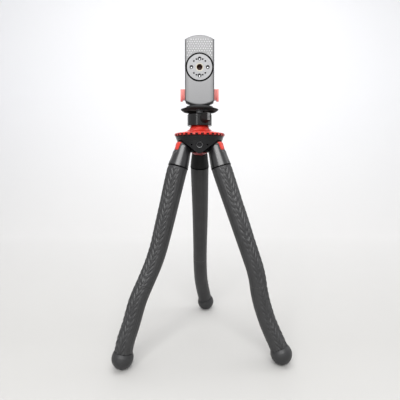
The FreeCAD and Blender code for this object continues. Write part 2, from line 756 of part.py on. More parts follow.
def head_room(name):
    """The round pocket that a leg's head turns in, with a slot for its button."""
    centre = ("pivot_radius", "0", "pivot_z")
    ball_room = ball_solid(name + "_ball", "leg_head_radius + leg_head_gap", centre)
    half = "(button_width / 2 + leg_head_gap)"
    slot = cylinder(name + "_slot", "leg_head_radius + button_proud + button_crown + leg_head_gap",
                    "2 * " + half, ("pivot_radius", "-" + half, "pivot_z"), ALONG_Y)
    outside = box(name + "_outside", ("pivot_radius", "2 * pivot_radius"), ("-" + half, half),
                  ("hub_low_z", "hub_top_z"))
    return joined(name, [ball_room, shared(name + "_sweep", [slot, outside])])


def make_hub():
    core = turned("hub_core", [
        ("0", "hub_low_z"), ("hub_core_radius", "hub_low_z"), ("hub_core_radius", "hub_disc_z"),
        ("hub_disc_radius", "hub_disc_z"), ("hub_disc_radius", "hub_band_z"),
        ("hub_band_radius", "hub_band_z"),
        ("hub_top_radius", "hub_top_z - wheel_bevel"), ("hub_top_radius - wheel_bevel", "hub_top_z"),
        ("hub_post_radius", "hub_top_z"), ("hub_post_radius", "spigot_low_z"), ("0", "spigot_low_z")])
    bosses = spread("hub_boss", lambda name: wide_box(
        name, "2 * socket_boss_half", (boss_front_y, "-(hub_core_radius) / 2"),
        ("socket_insert_z - socket_boss_half", "hub_band_z")), PANEL_TURNS)
    heads = spread("hub_head_room", head_room, LEG_AZIMUTHS)
    shell = without("hub_shell", joined("hub_solid", [core] + bosses), heads)
    tongues = spread("hub_tongue", lambda name: joined(name + "_solid", [
        box(name + "_arm", ("hub_core_radius / 2", "pivot_radius"), ("-(tongue_half)", "tongue_half"),
            ("pivot_z - tongue_radius", "pivot_z + tongue_radius")),
        cylinder(name + "_eye", "tongue_radius", "2 * tongue_half",
                 ("pivot_radius", "-(tongue_half)", "pivot_z"), ALONG_Y)]), LEG_AZIMUTHS)
    pins = spread("hub_pin_bore", lambda name: cylinder(
        name, "leg_pin_radius", "2 * tongue_radius", ("pivot_radius", "-(tongue_radius)", "pivot_z"),
        ALONG_Y), LEG_AZIMUTHS)
    inserts = spread("hub_insert_bore", lambda name: cylinder(
        name, "insert_radius", "socket_insert_long", insert_corner, ALONG_Y), PANEL_TURNS)
    ways = spread("hub_way_in", lambda name: cylinder(
        name, "thread_radius + slide_gap", "hub_top_radius - hub_disc_radius + socket_boss_gap",
        ("0", "-(hub_top_radius)", "socket_insert_z"), ALONG_Y), PANEL_TURNS)
    bolt = cylinder("hub_bolt_bore", "bolt_radius", "spigot_low_z - hub_low_z", ("0", "0", "hub_low_z"))
    head = cylinder("hub_bolt_head_bore", "bolt_head_radius", "bolt_head_z + bolt_head_tall - hub_low_z",
                    ("0", "0", "hub_low_z"))
    whole = joined("hub_whole", [shell] + tongues)
    node(without("hub", whole, pins + inserts + ways + [bolt, head]), "hub_body")


def make_panels():
    tall = "hub_band_z - panel_tip_z"
    outside = cone("panel_outside", "hub_band_radius - panel_face_slope", "hub_band_radius", tall,
                   ("0", "0", "panel_tip_z"))
    inside = cylinder("panel_inside", "hub_disc_radius", tall, ("0", "0", "panel_tip_z"))
    shell = without("panel_shell", outside, [inside])
    shield = document.addObject("PartDesign::Body", "panel_shield")
    sketch = outline(shield, "panel_outline", "XZ_Plane", [
        ("-(panel_half_width)", "hub_band_z"), ("-(panel_tip_width) / 2", "panel_tip_z"),
        ("panel_tip_width / 2", "panel_tip_z"), ("panel_half_width", "hub_band_z")])
    pad = shield.newObject("PartDesign::Pad", "panel_pad")
    pad.Profile = sketch
    bind(pad, Length="hub_top_radius")
    bores = [panel_bore("panel_insert_bore", "thread_radius + slide_gap", "0")]
    for side in ("-1", "1"):
        bores.append(panel_bore("panel_dot", "pin_hole_radius", side + " * pin_hole_offset"))
    cut = without("panel", shared("panel_blank", [shell, shield]), bores)
    panels = spread("panel", lambda name: grouped(name + "_copy", [cut]), PANEL_TURNS)
    heads = spread("panel_head_room", head_room, LEG_AZIMUTHS)
    node(without("panel_set", grouped("panel_group", panels), heads), "hub_panels")
    node(grouped("insert_set", spread("accessory_insert", accessory_insert, PANEL_TURNS)),
         "accessory_inserts")


def panel_bore(name, radius, across):
    corner = (across, "-(hub_top_radius)", "socket_insert_z")
    return cylinder(name, radius, "hub_core_radius", corner, ALONG_Y)


def accessory_insert(name):
    bush = cylinder(name + "_bush", "insert_radius", "socket_insert_long", insert_corner, ALONG_Y)
    bore = cylinder(name + "_thread", "thread_radius", "socket_insert_long - insert_end", insert_corner,
                    ALONG_Y)
    return without(name, bush, [bore])


def make_bolt_and_cap():
    head = cylinder("bolt_head", "bolt_head_radius", "bolt_head_tall", ("0", "0", "bolt_head_z"))
    shank = cylinder("bolt_shank", "bolt_radius", "spigot_low_z + bolt_in_spigot - bolt_head_z",
                     ("0", "0", "bolt_head_z"))
    node(joined("bolt", [head, shank]), "center_bolt")
    dome_radius = "((cap_radius^2 + (cap_tall - cap_band)^2) / (2 * (cap_tall - cap_band)))"
    low = "(hub_low_z - cap_tall)"
    dome = ball_solid("cap_dome", dome_radius, ("0", "0", low + " + " + dome_radius))
    column = cylinder("cap_column", "cap_radius", "cap_tall", ("0", "0", low))
    plug = cylinder("cap_plug", "cap_spigot_radius", "bolt_head_z - hub_low_z", ("0", "0", "hub_low_z"))
    node(joined("cap", [shared("cap_body", [dome, column]), plug]), "bottom_cap")


make_housing()
make_ball()
make_platform()
make_lock()
make_wheel()
make_hub()
make_panels()
make_bolt_and_cap()


class Route:
    """A line of straight runs joined by tangent arcs, measured along its length."""

    def __init__(self, corners):
        self.spans = []
        start = corners[0]
        for before, corner, after in zip(corners, corners[1:], corners[2:]):
            into = (corner - before).normalize()
            out = (after - corner).normalize()
            half_turn = into.getAngle(out) / 2
            shorter = min(corner.distanceToPoint(before), corner.distanceToPoint(after))
            tangent = number("arc_share") * shorter
            radius = tangent / math.tan(half_turn)
            entry = corner - into * tangent
            leave = corner + out * tangent
            centre = corner + (out - into).normalize() * (radius / math.cos(half_turn))
            self.spans.append(("run", start, entry))
            self.spans.append(("arc", entry, leave, centre, radius, 2 * half_turn))
            start = leave
        self.spans.append(("run", start, corners[-1]))
        self.length = sum(self.span_length(span) for span in self.spans)

    @staticmethod
    def span_length(span):
        return span[1].distanceToPoint(span[2]) if span[0] == "run" else span[4] * span[5]

    @staticmethod
    def span_point(span, along):
        """The point and direction that lie this far along one span."""
        if span[0] == "run":
            way = (span[2] - span[1]).normalize()
            return span[1] + way * along, way
        centre, radius = span[3], span[4]
        arm = span[1] - centre
        normal = arm.cross(span[2] - centre).normalize()
        turn = Rotation(normal, math.degrees(along / radius))
        arm = turn.multVec(arm)
        return centre + arm, normal.cross(arm).normalize()

    def at(self, along):
        """The point and direction at a distance along the route."""
        for span in self.spans:
            length = self.span_length(span)
            if along <= length or span is self.spans[-1]:
                return self.span_point(span, along)
            along -= length

    def wire(self, start, end):
        """The part of the route between two distances along it."""
        edges = []
        passed = 0.0
        for span in self.spans:
            length = self.span_length(span)
            low = max(start - passed, 0.0)
            high = end - passed if span is self.spans[-1] else min(end - passed, length)
            if high - low > Part.Precision.confusion():
                first = self.span_point(span, low)[0]
                last = self.span_point(span, high)[0]
                if span[0] == "run":
                    edges.append(Part.LineSegment(first, last).toShape())
                else:
                    middle = self.span_point(span, (low + high) / 2)[0]
                    edges.append(Part.Arc(first, middle, last).toShape())
            passed += length
        return Part.Wire(edges)


def pipe(route, start, end, start_radius, end_radius):
    """A solid round rod along part of a route, tapering evenly."""
    rings = []
    for along, radius in ((start, start_radius), (end, end_radius)):
        point, way = route.at(along)
        rings.append(Part.Wire([Part.Circle(point, way, radius).toShape()]))
    return route.wire(start, end).makePipeShell(rings, True, False)


def sleeve_radius(along):
    """The sleeve's outside radius: thickest at the socket and even below the knee."""
    top = number("socket_long + socket_lip_tall")
    knee = number("knee_along - bend_zone / 2")
    low = number("knee_along + bend_zone / 2")
    if along <= knee:
        share = (along - top) / (knee - top)
        return number("sleeve_top_radius") + share * number("sleeve_knee_radius - sleeve_top_radius")
    if along <= low:
        share = (along - knee) / (low - knee)
        return number("sleeve_knee_radius") + share * number("sleeve_low_radius - sleeve_knee_radius")
    return number("sleeve_low_radius")


def sleeve(route, start, end):
    """One stretch of rubber sleeve with the core's bore through it."""
    outside = pipe(route, start, end, sleeve_radius(start), sleeve_radius(end))
    bore = number("core_radius + running_gap")
    past = number("cut_past")
    return outside.cut(pipe(route, start - past, end + past, bore, bore)).Solids[0]


def feature(name, shape):
    piece = document.addObject("Part::Feature", name)
    piece.Shape = shape
    return node(piece, name)


def leg_route(azimuth, corners):
    """The leg's line in the tripod's frame, from the hinge pin down to the foot's centre."""
    lean = math.radians(number("leg_lean"))
    run = number("socket_run")
    pivot = (number("pivot_radius"), number("pivot_z"), 0.0)
    below = (pivot[0] + run * math.sin(lean), pivot[1] - run * math.cos(lean), 0.0)
    turn = Rotation(Vector(0, 0, 1), azimuth)
    points = []
    for out, up, drift in (pivot, below) + corners:
        height = number(up) if isinstance(up, str) else up
        points.append(turn.multVec(Vector(out, drift, height)))
    return Route(points)


def stand_in_socket(piece, azimuth):
    """Lay a piece drawn about the hinge, hanging along -Z, onto its leaning leg."""
    turn = Rotation(Vector(0, 0, 1), azimuth).multiply(Rotation(Vector(0, 1, 0), -number("leg_lean")))
    place(piece, ("pivot_radius * cos(%d)" % azimuth, "pivot_radius * sin(%d)" % azimuth, "pivot_z"), turn)


def make_socket(leg, azimuth):
    name = leg + "_socket"
    rim = "-(socket_long)"
    head = ball_solid(name + "_head", "leg_head_radius")
    body = cone(name + "_body", "socket_rim_radius", "leg_head_radius", "socket_long", ("0", "0", rim))
    lip = cylinder(name + "_lip", "socket_lip_radius", "socket_lip_tall",
                   ("0", "0", rim + " - socket_lip_tall"))
    groove_blank = cylinder(name + "_groove_blank", "socket_rim_radius + cut_past", "socket_groove_tall",
                            ("0", "0", rim + " - socket_groove_tall"))
    groove_core = cylinder(name + "_groove_core", "socket_lip_radius - socket_groove_deep",
                           "socket_groove_tall", ("0", "0", rim + " - socket_groove_tall"))
    groove = without(name + "_groove", groove_blank, [groove_core])
    slot_reach = "(tongue_radius + 2 * leg_head_gap)"
    slot = box(name + "_slot", ("-2 * leg_head_radius", slot_reach),
               ("-(tongue_half) - leg_head_gap / 2", "tongue_half + leg_head_gap / 2"),
               ("-" + slot_reach, "2 * leg_head_radius"))
    pocket = box(name + "_pocket", ("button_pocket_x", "2 * leg_head_radius"),
                 ("-(button_width) / 2 - button_gap", "button_width / 2 + button_gap"),
                 ("-(button_low) - button_gap", "button_high + button_gap"))
    bore = cylinder(name + "_core_bore", "core_radius + slide_gap / 2", "core_in_socket + socket_lip_tall",
                    ("0", "0", rim + " - socket_lip_tall"))
    pin = cylinder(name + "_pin_bore", "leg_pin_radius + running_gap", "2 * pin_end",
                   ("0", "-(pin_end)", "0"), ALONG_Y)
    solid = joined(name + "_solid", [head, body, lip])
    socket = without(name + "_cut", solid, [groove, slot, pocket, bore, pin])
    stand_in_socket(socket, azimuth)
    node(socket, name)


def make_button(leg, azimuth):
    name = leg + "_button"
    blank = box(name + "_blank", ("button_inner", "2 * leg_head_radius"),
                ("-(button_width) / 2", "button_width / 2"), ("-(button_low)", "button_high"))
    lengthwise = cylinder(name + "_round", "leg_head_radius + button_proud", "4 * button_high",
                          ("0", "0", "-2 * button_high"))
    crosswise = ball_solid(name + "_head_round", "leg_head_radius + button_proud + button_crown")
    button = shared(name + "_shape", [blank, lengthwise, crosswise])
    stand_in_socket(button, azimuth)
    node(button, name)
    long = "button_inner - button_pocket_x"
    start = ("button_pocket_x", "0", "0")
    spring = cylinder(name + "_spring_outside", "button_spring_radius", long, start, ALONG_X)
    hole = cylinder(name + "_spring_inside", "button_spring_radius / 2", long, start, ALONG_X)
    coil = without(name + "_spring", spring, [hole])
    stand_in_socket(coil, azimuth)
    node(coil, leg + "_button_spring")


def make_sleeves(leg, route):
    half = number("bend_zone") / 2
    knee = number("knee_along")
    ankle = number("ankle_along")
    top = number("socket_long + socket_lip_tall")
    bottom = route.length - number("foot_seat")
    feature(leg + "_upper_sleeve", sleeve(route, top + number("slide_gap"), knee - half))
    feature(leg + "_middle_sleeve", sleeve(route, knee + half, ankle - half))
    feature(leg + "_lower_sleeve", sleeve(route, ankle + half, bottom))
    bends = [sleeve(route, middle - half, middle + half) for middle in (knee, ankle)]
    feature(leg + "_bend_sleeves", Part.makeCompound(bends))
    radius = number("core_radius")
    start = number("socket_long - core_in_socket")
    end = route.length + number("core_in_foot")
    feature(leg + "_core", pipe(route, start, end, radius, radius))


def make_foot(leg, route):
    name = leg + "_foot"
    sphere = ball_solid(name + "_sphere", "foot_radius")
    keep = cylinder(name + "_keep", "foot_radius", "foot_radius + foot_waist_tall",
                    ("0", "0", "-(foot_radius)"))
    waist = cone(name + "_waist", "foot_radius", "foot_waist_radius", "foot_waist_tall")
    rim = cone(name + "_rim", "foot_waist_radius", "foot_top_radius", "foot_top_tall - foot_waist_tall",
               ("0", "0", "foot_waist_tall"))
    seat = cylinder(name + "_seat", "sleeve_low_radius + running_gap", "foot_top_tall",
                    ("0", "0", "foot_seat"))
    bore = cylinder(name + "_bore", "core_radius + running_gap", "foot_seat + core_in_foot + slide_gap",
                    ("0", "0", "-(core_in_foot) - slide_gap"))
    solid = joined(name + "_solid", [shared(name + "_ball", [sphere, keep]), waist, rim])
    foot = without(name + "_cut", solid, [seat, bore])
    centre, way = route.at(route.length)
    foot.Placement = Placement(centre, Rotation(Vector(0, 0, -1), way))
    node(foot, name)


def make_leg_pins():
    pins = spread("leg_pin", lambda name: cylinder(
        name, "leg_pin_radius", "2 * (pin_end - pin_end_gap)",
        ("pivot_radius", "pin_end_gap - pin_end", "pivot_z"), ALONG_Y), LEG_AZIMUTHS)
    node(grouped("leg_pin_set", pins), "leg_pins")


make_leg_pins()
for leg_name, (leg_azimuth, leg_corners) in LEGS.items():
    leg_line = leg_route(leg_azimuth, leg_corners)
    make_socket(leg_name, leg_azimuth)
    make_button(leg_name, leg_azimuth)
    make_sleeves(leg_name, leg_line)
    make_foot(leg_name, leg_line)
    for place_name in ("knee_along", "ankle_along"):
        joint_point = leg_line.at(number(place_name))[0]
        print(leg_name, place_name, [round(value, 3) for value in joint_point], round(leg_line.length, 1))


# Check every object, then write one file for each sub-part

def write_parts():
    document.recompute()
    for item in document.Objects:
        if "Invalid" in item.State or "Error" in item.State:
            raise RuntimeError("%s did not build" % item.Label)
    for piece in nodes:
        if piece.Shape.isNull() or not piece.Shape.isValid():
            raise RuntimeError("%s has no valid shape" % piece.Label)
    os.makedirs("parts", exist_ok=True)
    for piece in nodes:
        piece.Shape.exportStep("parts/%s.step" % piece.Label)


write_parts()
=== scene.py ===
import bpy
import json
import math
from mathutils import Matrix, Vector


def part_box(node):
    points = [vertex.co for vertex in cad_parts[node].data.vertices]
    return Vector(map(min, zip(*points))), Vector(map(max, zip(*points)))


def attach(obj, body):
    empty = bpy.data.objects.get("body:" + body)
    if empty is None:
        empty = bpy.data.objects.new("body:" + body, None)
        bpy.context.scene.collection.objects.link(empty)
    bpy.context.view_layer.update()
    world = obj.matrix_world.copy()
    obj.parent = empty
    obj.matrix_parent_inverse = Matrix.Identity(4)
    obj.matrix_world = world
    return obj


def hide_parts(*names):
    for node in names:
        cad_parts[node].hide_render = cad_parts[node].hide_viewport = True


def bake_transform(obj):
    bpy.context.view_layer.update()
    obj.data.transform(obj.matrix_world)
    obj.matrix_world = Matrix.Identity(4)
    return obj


# Looks of a tabletop tripod with bendable rubber legs, a ball head and a phone clamp.
# Axes as in the frame: the clamp's disc faces -Y, +Z is up and z = 0 is the floor.
# The object's sizes are in millimetres, which new_piece and the finishes turn into metres,
# and its angles are in degrees where no call turns them into radians. The room, its lights
# and the camera are in metres. Colours are linear red, green and blue.

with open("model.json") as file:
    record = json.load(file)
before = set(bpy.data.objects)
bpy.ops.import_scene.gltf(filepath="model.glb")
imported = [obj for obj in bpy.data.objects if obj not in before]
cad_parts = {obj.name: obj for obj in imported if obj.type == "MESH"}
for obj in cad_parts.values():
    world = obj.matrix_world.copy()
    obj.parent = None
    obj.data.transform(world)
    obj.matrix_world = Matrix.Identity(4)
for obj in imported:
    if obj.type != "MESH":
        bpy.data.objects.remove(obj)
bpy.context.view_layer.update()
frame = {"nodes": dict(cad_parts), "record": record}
nodes = frame["nodes"]
MM = 0.001


def box_in_mm(node):
    """A node's lowest and highest corners in millimetres."""
    return [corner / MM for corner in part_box(node)]


# Node-based materials

NOISE_ROUGHNESS = 0.55
BLACK, WHITE = (0.0, 0.0, 0.0), (1.0, 1.0, 1.0)
# How a grain is squeezed along X, Y and Z
EVEN, LINED = (1, 1, 1), (1, 1, 12)
MATERIALS = {}


class Paint:
    """A Principled material, kept in MATERIALS, with helpers for the nodes that vary it.

    The shader's own sockets hold the plain colour and roughness, which the nodes vary.
    """

    def __init__(self, name, colour, roughness, metallic=0.0, specular=0.5):
        self.material = bpy.data.materials.new(name)
        MATERIALS[name] = self.material
        self.material.use_nodes = True
        self.tree = self.material.node_tree
        self.shader = self.tree.nodes["Principled BSDF"]
        self.shader.inputs["Base Color"].default_value = (*colour, 1)
        self.shader.inputs["Roughness"].default_value = roughness
        self.shader.inputs["Metallic"].default_value = metallic
        self.shader.inputs["Specular IOR Level"].default_value = specular

    def node(self, kind, **values):
        """Add a node; each value goes to its input of that name, or else to its setting."""
        made = self.tree.nodes.new(kind)
        for key, value in values.items():
            if key in made.inputs:
                made.inputs[key].default_value = value
            else:
                setattr(made, key, value)
        return made

    def link(self, source, target):
        self.tree.links.new(source, target)

    def place(self, scale=EVEN):
        """A place on the object, its three coordinates scaled."""
        coordinates = self.node("ShaderNodeTexCoord")
        mapping = self.node("ShaderNodeMapping", Scale=scale)
        self.link(coordinates.outputs["Object"], mapping.inputs["Vector"])
        return mapping.outputs["Vector"]

    def noise(self, size, detail=4, squeeze=EVEN):
        """A noise whose grain has about the stated size."""
        made = self.node("ShaderNodeTexNoise", Scale=1 / (size * MM), Detail=detail,
                         Roughness=NOISE_ROUGHNESS)
        self.link(self.place(squeeze), made.inputs["Vector"])
        return made.outputs["Fac"]

    def ramp(self, factor, low, high, low_at=0.3, high_at=0.7):
        """A colour that runs from low to high between two values of the factor."""
        made = self.node("ShaderNodeValToRGB")
        first, last = made.color_ramp.elements
        first.position, last.position = low_at, high_at
        first.color, last.color = (*low, 1), (*high, 1)
        self.link(factor, made.inputs["Fac"])
        return made.outputs["Color"]

    def remap(self, factor, limits):
        """The factor between limits, given by the names of the node's inputs."""
        made = self.node("ShaderNodeMapRange", **limits)
        self.link(factor, made.inputs["Value"])
        return made.outputs["Result"]

    def size_along(self, vector, axis):
        """How long a vector is along one axis, whichever way it points."""
        split = self.node("ShaderNodeSeparateXYZ")
        self.link(vector, split.inputs["Vector"])
        made = self.node("ShaderNodeMath", operation="ABSOLUTE")
        self.link(split.outputs[axis], made.inputs[0])
        return made.outputs["Value"]

    def span(self, axis, low, high):
        """How far a place's distance from zero along an axis lies between two values."""
        return self.remap(self.size_along(self.place(), axis),
                          {"From Min": low * MM, "From Max": high * MM})

    def multiply(self, first, second):
        mix = self.node("ShaderNodeMix", data_type="RGBA", blend_type="MULTIPLY")
        mix.inputs["Factor"].default_value = 1.0
        self.link(first, mix.inputs["A"])
        self.link(second, mix.inputs["B"])
        return mix.outputs["Result"]

    def set_colour(self, colour):
        self.link(colour, self.shader.inputs["Base Color"])

    def vary_roughness(self, factor, low, high):
        gloss = self.remap(factor, {"To Min": low, "To Max": high})
        self.link(gloss, self.shader.inputs["Roughness"])

    def bump(self, factor, depth, strength):
        """Relief with the stated full depth."""
        made = self.node("ShaderNodeBump", Strength=strength, Distance=depth * MM)
        self.link(factor, made.inputs["Height"])
        self.link(made.outputs["Normal"], self.shader.inputs["Normal"])


def shade(colour, factor):
    """The colour with each channel times the factor."""
    return tuple(channel * factor for channel in colour)


MOULD_BLOTCH, MOULD_RELIEF = 12.0, 0.5
MOULD_GLOSS_LOW, MOULD_GLOSS_HIGH = 0.85, 1.15


def moulded(name, colour, roughness, grain=0.6, depth=0.04, spread=0.15, specular=0.5):
    """Moulded plastic or rubber: a fine spark-eroded grain, faint blotches and varied gloss."""
    paint = Paint(name, colour, roughness, specular=specular)
    blotches = paint.noise(MOULD_BLOTCH, detail=3)
    paint.set_colour(paint.ramp(blotches, shade(colour, 1 - spread), shade(colour, 1 + spread)))
    fine = paint.noise(grain, detail=5)
    paint.vary_roughness(fine, roughness * MOULD_GLOSS_LOW,
                         min(1, roughness * MOULD_GLOSS_HIGH))
    paint.bump(fine, depth, MOULD_RELIEF)


METAL_GRAIN, METAL_RELIEF = 0.8, 0.4
METAL_TONE_LOW, METAL_TONE_HIGH = 0.85, 1.1
METAL_GLOSS_LOW, METAL_GLOSS_HIGH = 0.75, 1.3


def metal(name, colour, roughness, squeeze=LINED, depth=0.02, metallic=1.0):
    """Turned metal with fine lines across it, or cast metal with an even grain."""
    paint = Paint(name, colour, roughness, metallic)
    grain = paint.noise(METAL_GRAIN, squeeze=squeeze)
    paint.set_colour(paint.ramp(grain, shade(colour, METAL_TONE_LOW),
                                shade(colour, METAL_TONE_HIGH)))
    paint.vary_roughness(grain, roughness * METAL_GLOSS_LOW, roughness * METAL_GLOSS_HIGH)
    paint.bump(grain, depth, METAL_RELIEF)


COVER_ROUGHNESS, COVER_METALLIC = 0.46, 0.35
COVER_GRAIN, COVER_GRAIN_DEPTH, COVER_RELIEF = 0.8, 0.01, 0.4
COVER_GLOSS_LOW, COVER_GLOSS_HIGH = 0.40, 0.50
COVER_SPECK = 0.95
# How squarely the surface faces front or back where the painted edge shade starts and is gone
COVER_TURNED, COVER_FACING = 0.35, 0.97
# Where painted shade darkens the face towards the sides, measured from the middle, and how much
COVER_SHADE_FROM, COVER_SHADE_TO, COVER_PAINTED_SIDE_SHADE = 11.0, 15.2, 0.68


def cover_finish(name, colour, edge):
    """Satin metal paint, with painted shade that darkens it where the plate rounds off towards its
    sides.
    """
    paint = Paint(name, colour, COVER_ROUGHNESS, COVER_METALLIC)
    grain = paint.noise(COVER_GRAIN)
    facing = paint.size_along(paint.node("ShaderNodeTexCoord").outputs["Normal"], "Y")
    # Painted shade: the edge colour darkens the plate where its surface turns away from front and
    # back
    plain = paint.ramp(facing, edge, colour, COVER_TURNED, COVER_FACING)
    speck = paint.ramp(grain, shade(WHITE, COVER_SPECK), WHITE)
    # Painted shade: the face darkens towards its sides
    aside = paint.span("X", COVER_SHADE_FROM, COVER_SHADE_TO)
    sides = paint.ramp(aside, WHITE, shade(WHITE, COVER_PAINTED_SIDE_SHADE), 0.0, 1.0)
    paint.set_colour(paint.multiply(paint.multiply(plain, speck), sides))
    paint.vary_roughness(grain, COVER_GLOSS_LOW, COVER_GLOSS_HIGH)
    paint.bump(grain, COVER_GRAIN_DEPTH, COVER_RELIEF)


JAW_ROUGHNESS, JAW_GLOSS_LOW, JAW_GLOSS_HIGH = 0.42, 0.36, 0.48
JAW_GRAIN, JAW_GRAIN_DEPTH = 0.6, 0.02
# Painted shade darkens the wings fully below the first height and not at all above the second
JAW_FULL_SHADE_Z, JAW_NO_SHADE_Z = 276.5, 283.5


def jaw_finish(name, colour, painted_shade_colour):
    """Translucent red plastic, with painted shade that deepens its tone towards the hooks at its
    foot.
    """
    paint = Paint(name, colour, JAW_ROUGHNESS)
    height = paint.span("Z", JAW_FULL_SHADE_Z, JAW_NO_SHADE_Z)
    paint.set_colour(paint.ramp(height, painted_shade_colour, colour, 0.0, 1.0))
    fine = paint.noise(JAW_GRAIN, detail=5)
    paint.vary_roughness(fine, JAW_GLOSS_LOW, JAW_GLOSS_HIGH)
    paint.bump(fine, JAW_GRAIN_DEPTH, MOULD_RELIEF)


# The finishes: first those named as the record's material slots, then those of single parts

moulded("hub_black", (0.0055, 0.0055, 0.006), 0.60, specular=0.2)
moulded("head_black", (0.013, 0.012, 0.0125), 0.42)
moulded("clamp_black", (0.016, 0.016, 0.016), 0.50)
# The last colour is the painted shade at the cover's rounded edges
cover_finish("cover_grey", (0.216, 0.216, 0.219), (0.03, 0.03, 0.031))
metal("disc_metal", (0.258, 0.258, 0.263), 0.50, EVEN, metallic=0.6)
moulded("red_plastic", (0.54, 0.024, 0.013), 0.30, depth=0.01, spread=0.06)
# The second colour is the painted shade at the wings' foot
jaw_finish("red_jaw", (0.82, 0.285, 0.26), (0.66, 0.14, 0.135))
moulded("red_button", (0.60, 0.035, 0.02), 0.32, depth=0.01, spread=0.06)
moulded("socket_gloss", (0.007, 0.007, 0.0075), 0.29, depth=0.006, specular=0.7)
moulded("leg_rubber", (0.0212, 0.0212, 0.022), 0.44, grain=0.4)
moulded("foot_rubber", (0.017, 0.017, 0.018), 0.46, grain=0.5, depth=0.05)
moulded("rubber", (0.030, 0.030, 0.031), 0.70, grain=0.4, depth=0.06)
metal("steel", (0.60, 0.60, 0.62), 0.30)
metal("brass", (0.72, 0.50, 0.22), 0.28)
moulded("nylon", (0.75, 0.74, 0.70), 0.45)
metal("core_metal", (0.70, 0.70, 0.72), 0.38)

metal("cover_dots", (0.46, 0.46, 0.463), 0.40, EVEN, depth=0.01, metallic=0.35)
moulded("hub_gloss", (0.006, 0.006, 0.0065), 0.20, depth=0.01, specular=0.26)
moulded("knob_black", (0.0135, 0.0125, 0.0125), 0.70, specular=0.15)
moulded("plate_black", (0.007, 0.0068, 0.0068), 0.62, specular=0.16)
metal("pale_brass", (0.34, 0.32, 0.27), 0.45, EVEN, metallic=0.6)
# Painted shade: the dark inside of the disc's bore
moulded("bore_shade_brown", (0.030, 0.009, 0.006), 0.50, depth=0.01, specular=0.3)
# Brass darkened as painted shade, for the thread deep in the bore
metal("turn_shaded_brass", (0.16, 0.085, 0.05), 0.40, EVEN)
# Painted highlight on the sockets' glossy black ridges
moulded("ridge_highlight_grey", (0.10, 0.10, 0.10), 0.35, depth=0.01)
moulded("cap_red", (0.20, 0.010, 0.014), 0.34, depth=0.01)
# Painted shade in the gaps between the wheel's teeth
moulded("gap_shade_red", (0.030, 0.0015, 0.0015), 0.60, depth=0.01)
# Painted highlight on the lock knob's ribs
moulded("grip_highlight_grey", (0.27, 0.27, 0.27), 0.50, grain=0.4, depth=0.03)
metal("dull_steel", (0.10, 0.10, 0.103), 0.42)
# A duller copy of socket_gloss, as painted shade for the rear socket in the hub's shadow
moulded("socket_shaded", (0.008, 0.008, 0.0085), 0.55, depth=0.01, specular=0.25)
moulded("seam_black", (0.0015, 0.0015, 0.0015), 0.90, specular=0.05)
metal("insert_steel", (0.42, 0.42, 0.425), 0.50, metallic=0.5)
moulded("housing_gloss", (0.005, 0.0048, 0.005), 0.22, depth=0.01, specular=0.36)

# Nodes whose finish differs from the usual one of their material slot
OWN_FINISH = {
    "hub_body": "hub_gloss",
    "bottom_cap": "cap_red",
    "accessory_inserts": "dull_steel",
    "disc_screws": "dull_steel",
    "lock_knob": "knob_black",
    "platform": "plate_black",
    "thread_insert": "pale_brass",
    "head_housing": "housing_gloss",
    # The rear socket takes the painted shade copy of the socket finish
    "rear_socket": "socket_shaded",
}
for part in frame["record"]["subparts"]:
    finish = OWN_FINISH.get(part["node"], part["material_slot"])
    for slot in nodes[part["node"]].material_slots:
        slot.material = MATERIALS[finish]


# Floor and backdrop: one pale sweep

SWEEP_FRONT, SWEEP_BACK, SWEEP_HALF_WIDTH = -1.2, 0.55, 3.0
SWEEP_HIGH, SWEEP_BEND, SWEEP_STEPS = 2.6, 0.5, 12
# The grain is in millimetres, as in every finish
SWEEP_ROUGHNESS, SWEEP_GRAIN = 0.6, 50.0
SWEEP_GLOSS_LOW, SWEEP_GLOSS_HIGH = 0.55, 0.65
FLOOR_COLOUR, WALL_COLOUR = (0.53, 0.523, 0.508), (0.80, 0.80, 0.81)
# The way in which the sweep grows paler, as painted light, the rise that counts as full,
# and the share of it from which the wall's colour is reached
PALE_WAY, PALE_RISE, PALE_SHARE = (0, 0.1, 1), 1.2, 0.5
# The painted glow that only the background shows: none on the near floor, then low down and higher
# up
LOW_GLOW, WALL_GLOW, LOW_GLOW_AT = (0.225, 0.225, 0.23), (0.17, 0.173, 0.185), 0.05


def seen_background(tree):
    """1 for a ray that shows the background as it is: direct, in gloss or through glass."""
    ray = tree.nodes.new("ShaderNodeLightPath")
    total = ray.outputs["Is Camera Ray"]
    for kind in ("Is Glossy Ray", "Is Transmission Ray"):
        added = tree.nodes.new("ShaderNodeMath")
        added.operation = "ADD"
        added.use_clamp = True
        tree.links.new(total, added.inputs[0])
        tree.links.new(ray.outputs[kind], added.inputs[1])
        total = added.outputs["Value"]
    return total


def sweep_paint():
    """A matt finish with painted light: it grows paler with height and glows only where rays show
    it directly.
    """
    paint = Paint("sweep", FLOOR_COLOUR, SWEEP_ROUGHNESS)
    paint.vary_roughness(paint.noise(SWEEP_GRAIN, detail=3), SWEEP_GLOSS_LOW, SWEEP_GLOSS_HIGH)
    rise = paint.node("ShaderNodeVectorMath", operation="DOT_PRODUCT")
    rise.inputs[1].default_value = PALE_WAY
    paint.link(paint.node("ShaderNodeTexCoord").outputs["Object"], rise.inputs[0])
    height = paint.remap(rise.outputs["Value"], {"From Max": PALE_RISE})
    paint.set_colour(paint.ramp(height, FLOOR_COLOUR, WALL_COLOUR, 0.0, PALE_SHARE))
    glow = paint.ramp(height, BLACK, WALL_GLOW, 0.0, PALE_SHARE)
    stop = glow.node.color_ramp.elements.new(LOW_GLOW_AT)
    stop.color = (*LOW_GLOW, 1)
    tint = paint.node("ShaderNodeMix", data_type="RGBA")
    tint.inputs["A"].default_value = (*BLACK, 1)
    paint.link(seen_background(paint.tree), tint.inputs["Factor"])
    paint.link(glow, tint.inputs["B"])
    paint.link(tint.outputs["Result"], paint.shader.inputs["Emission Color"])
    paint.shader.inputs["Emission Strength"].default_value = 1.0
    return paint.material


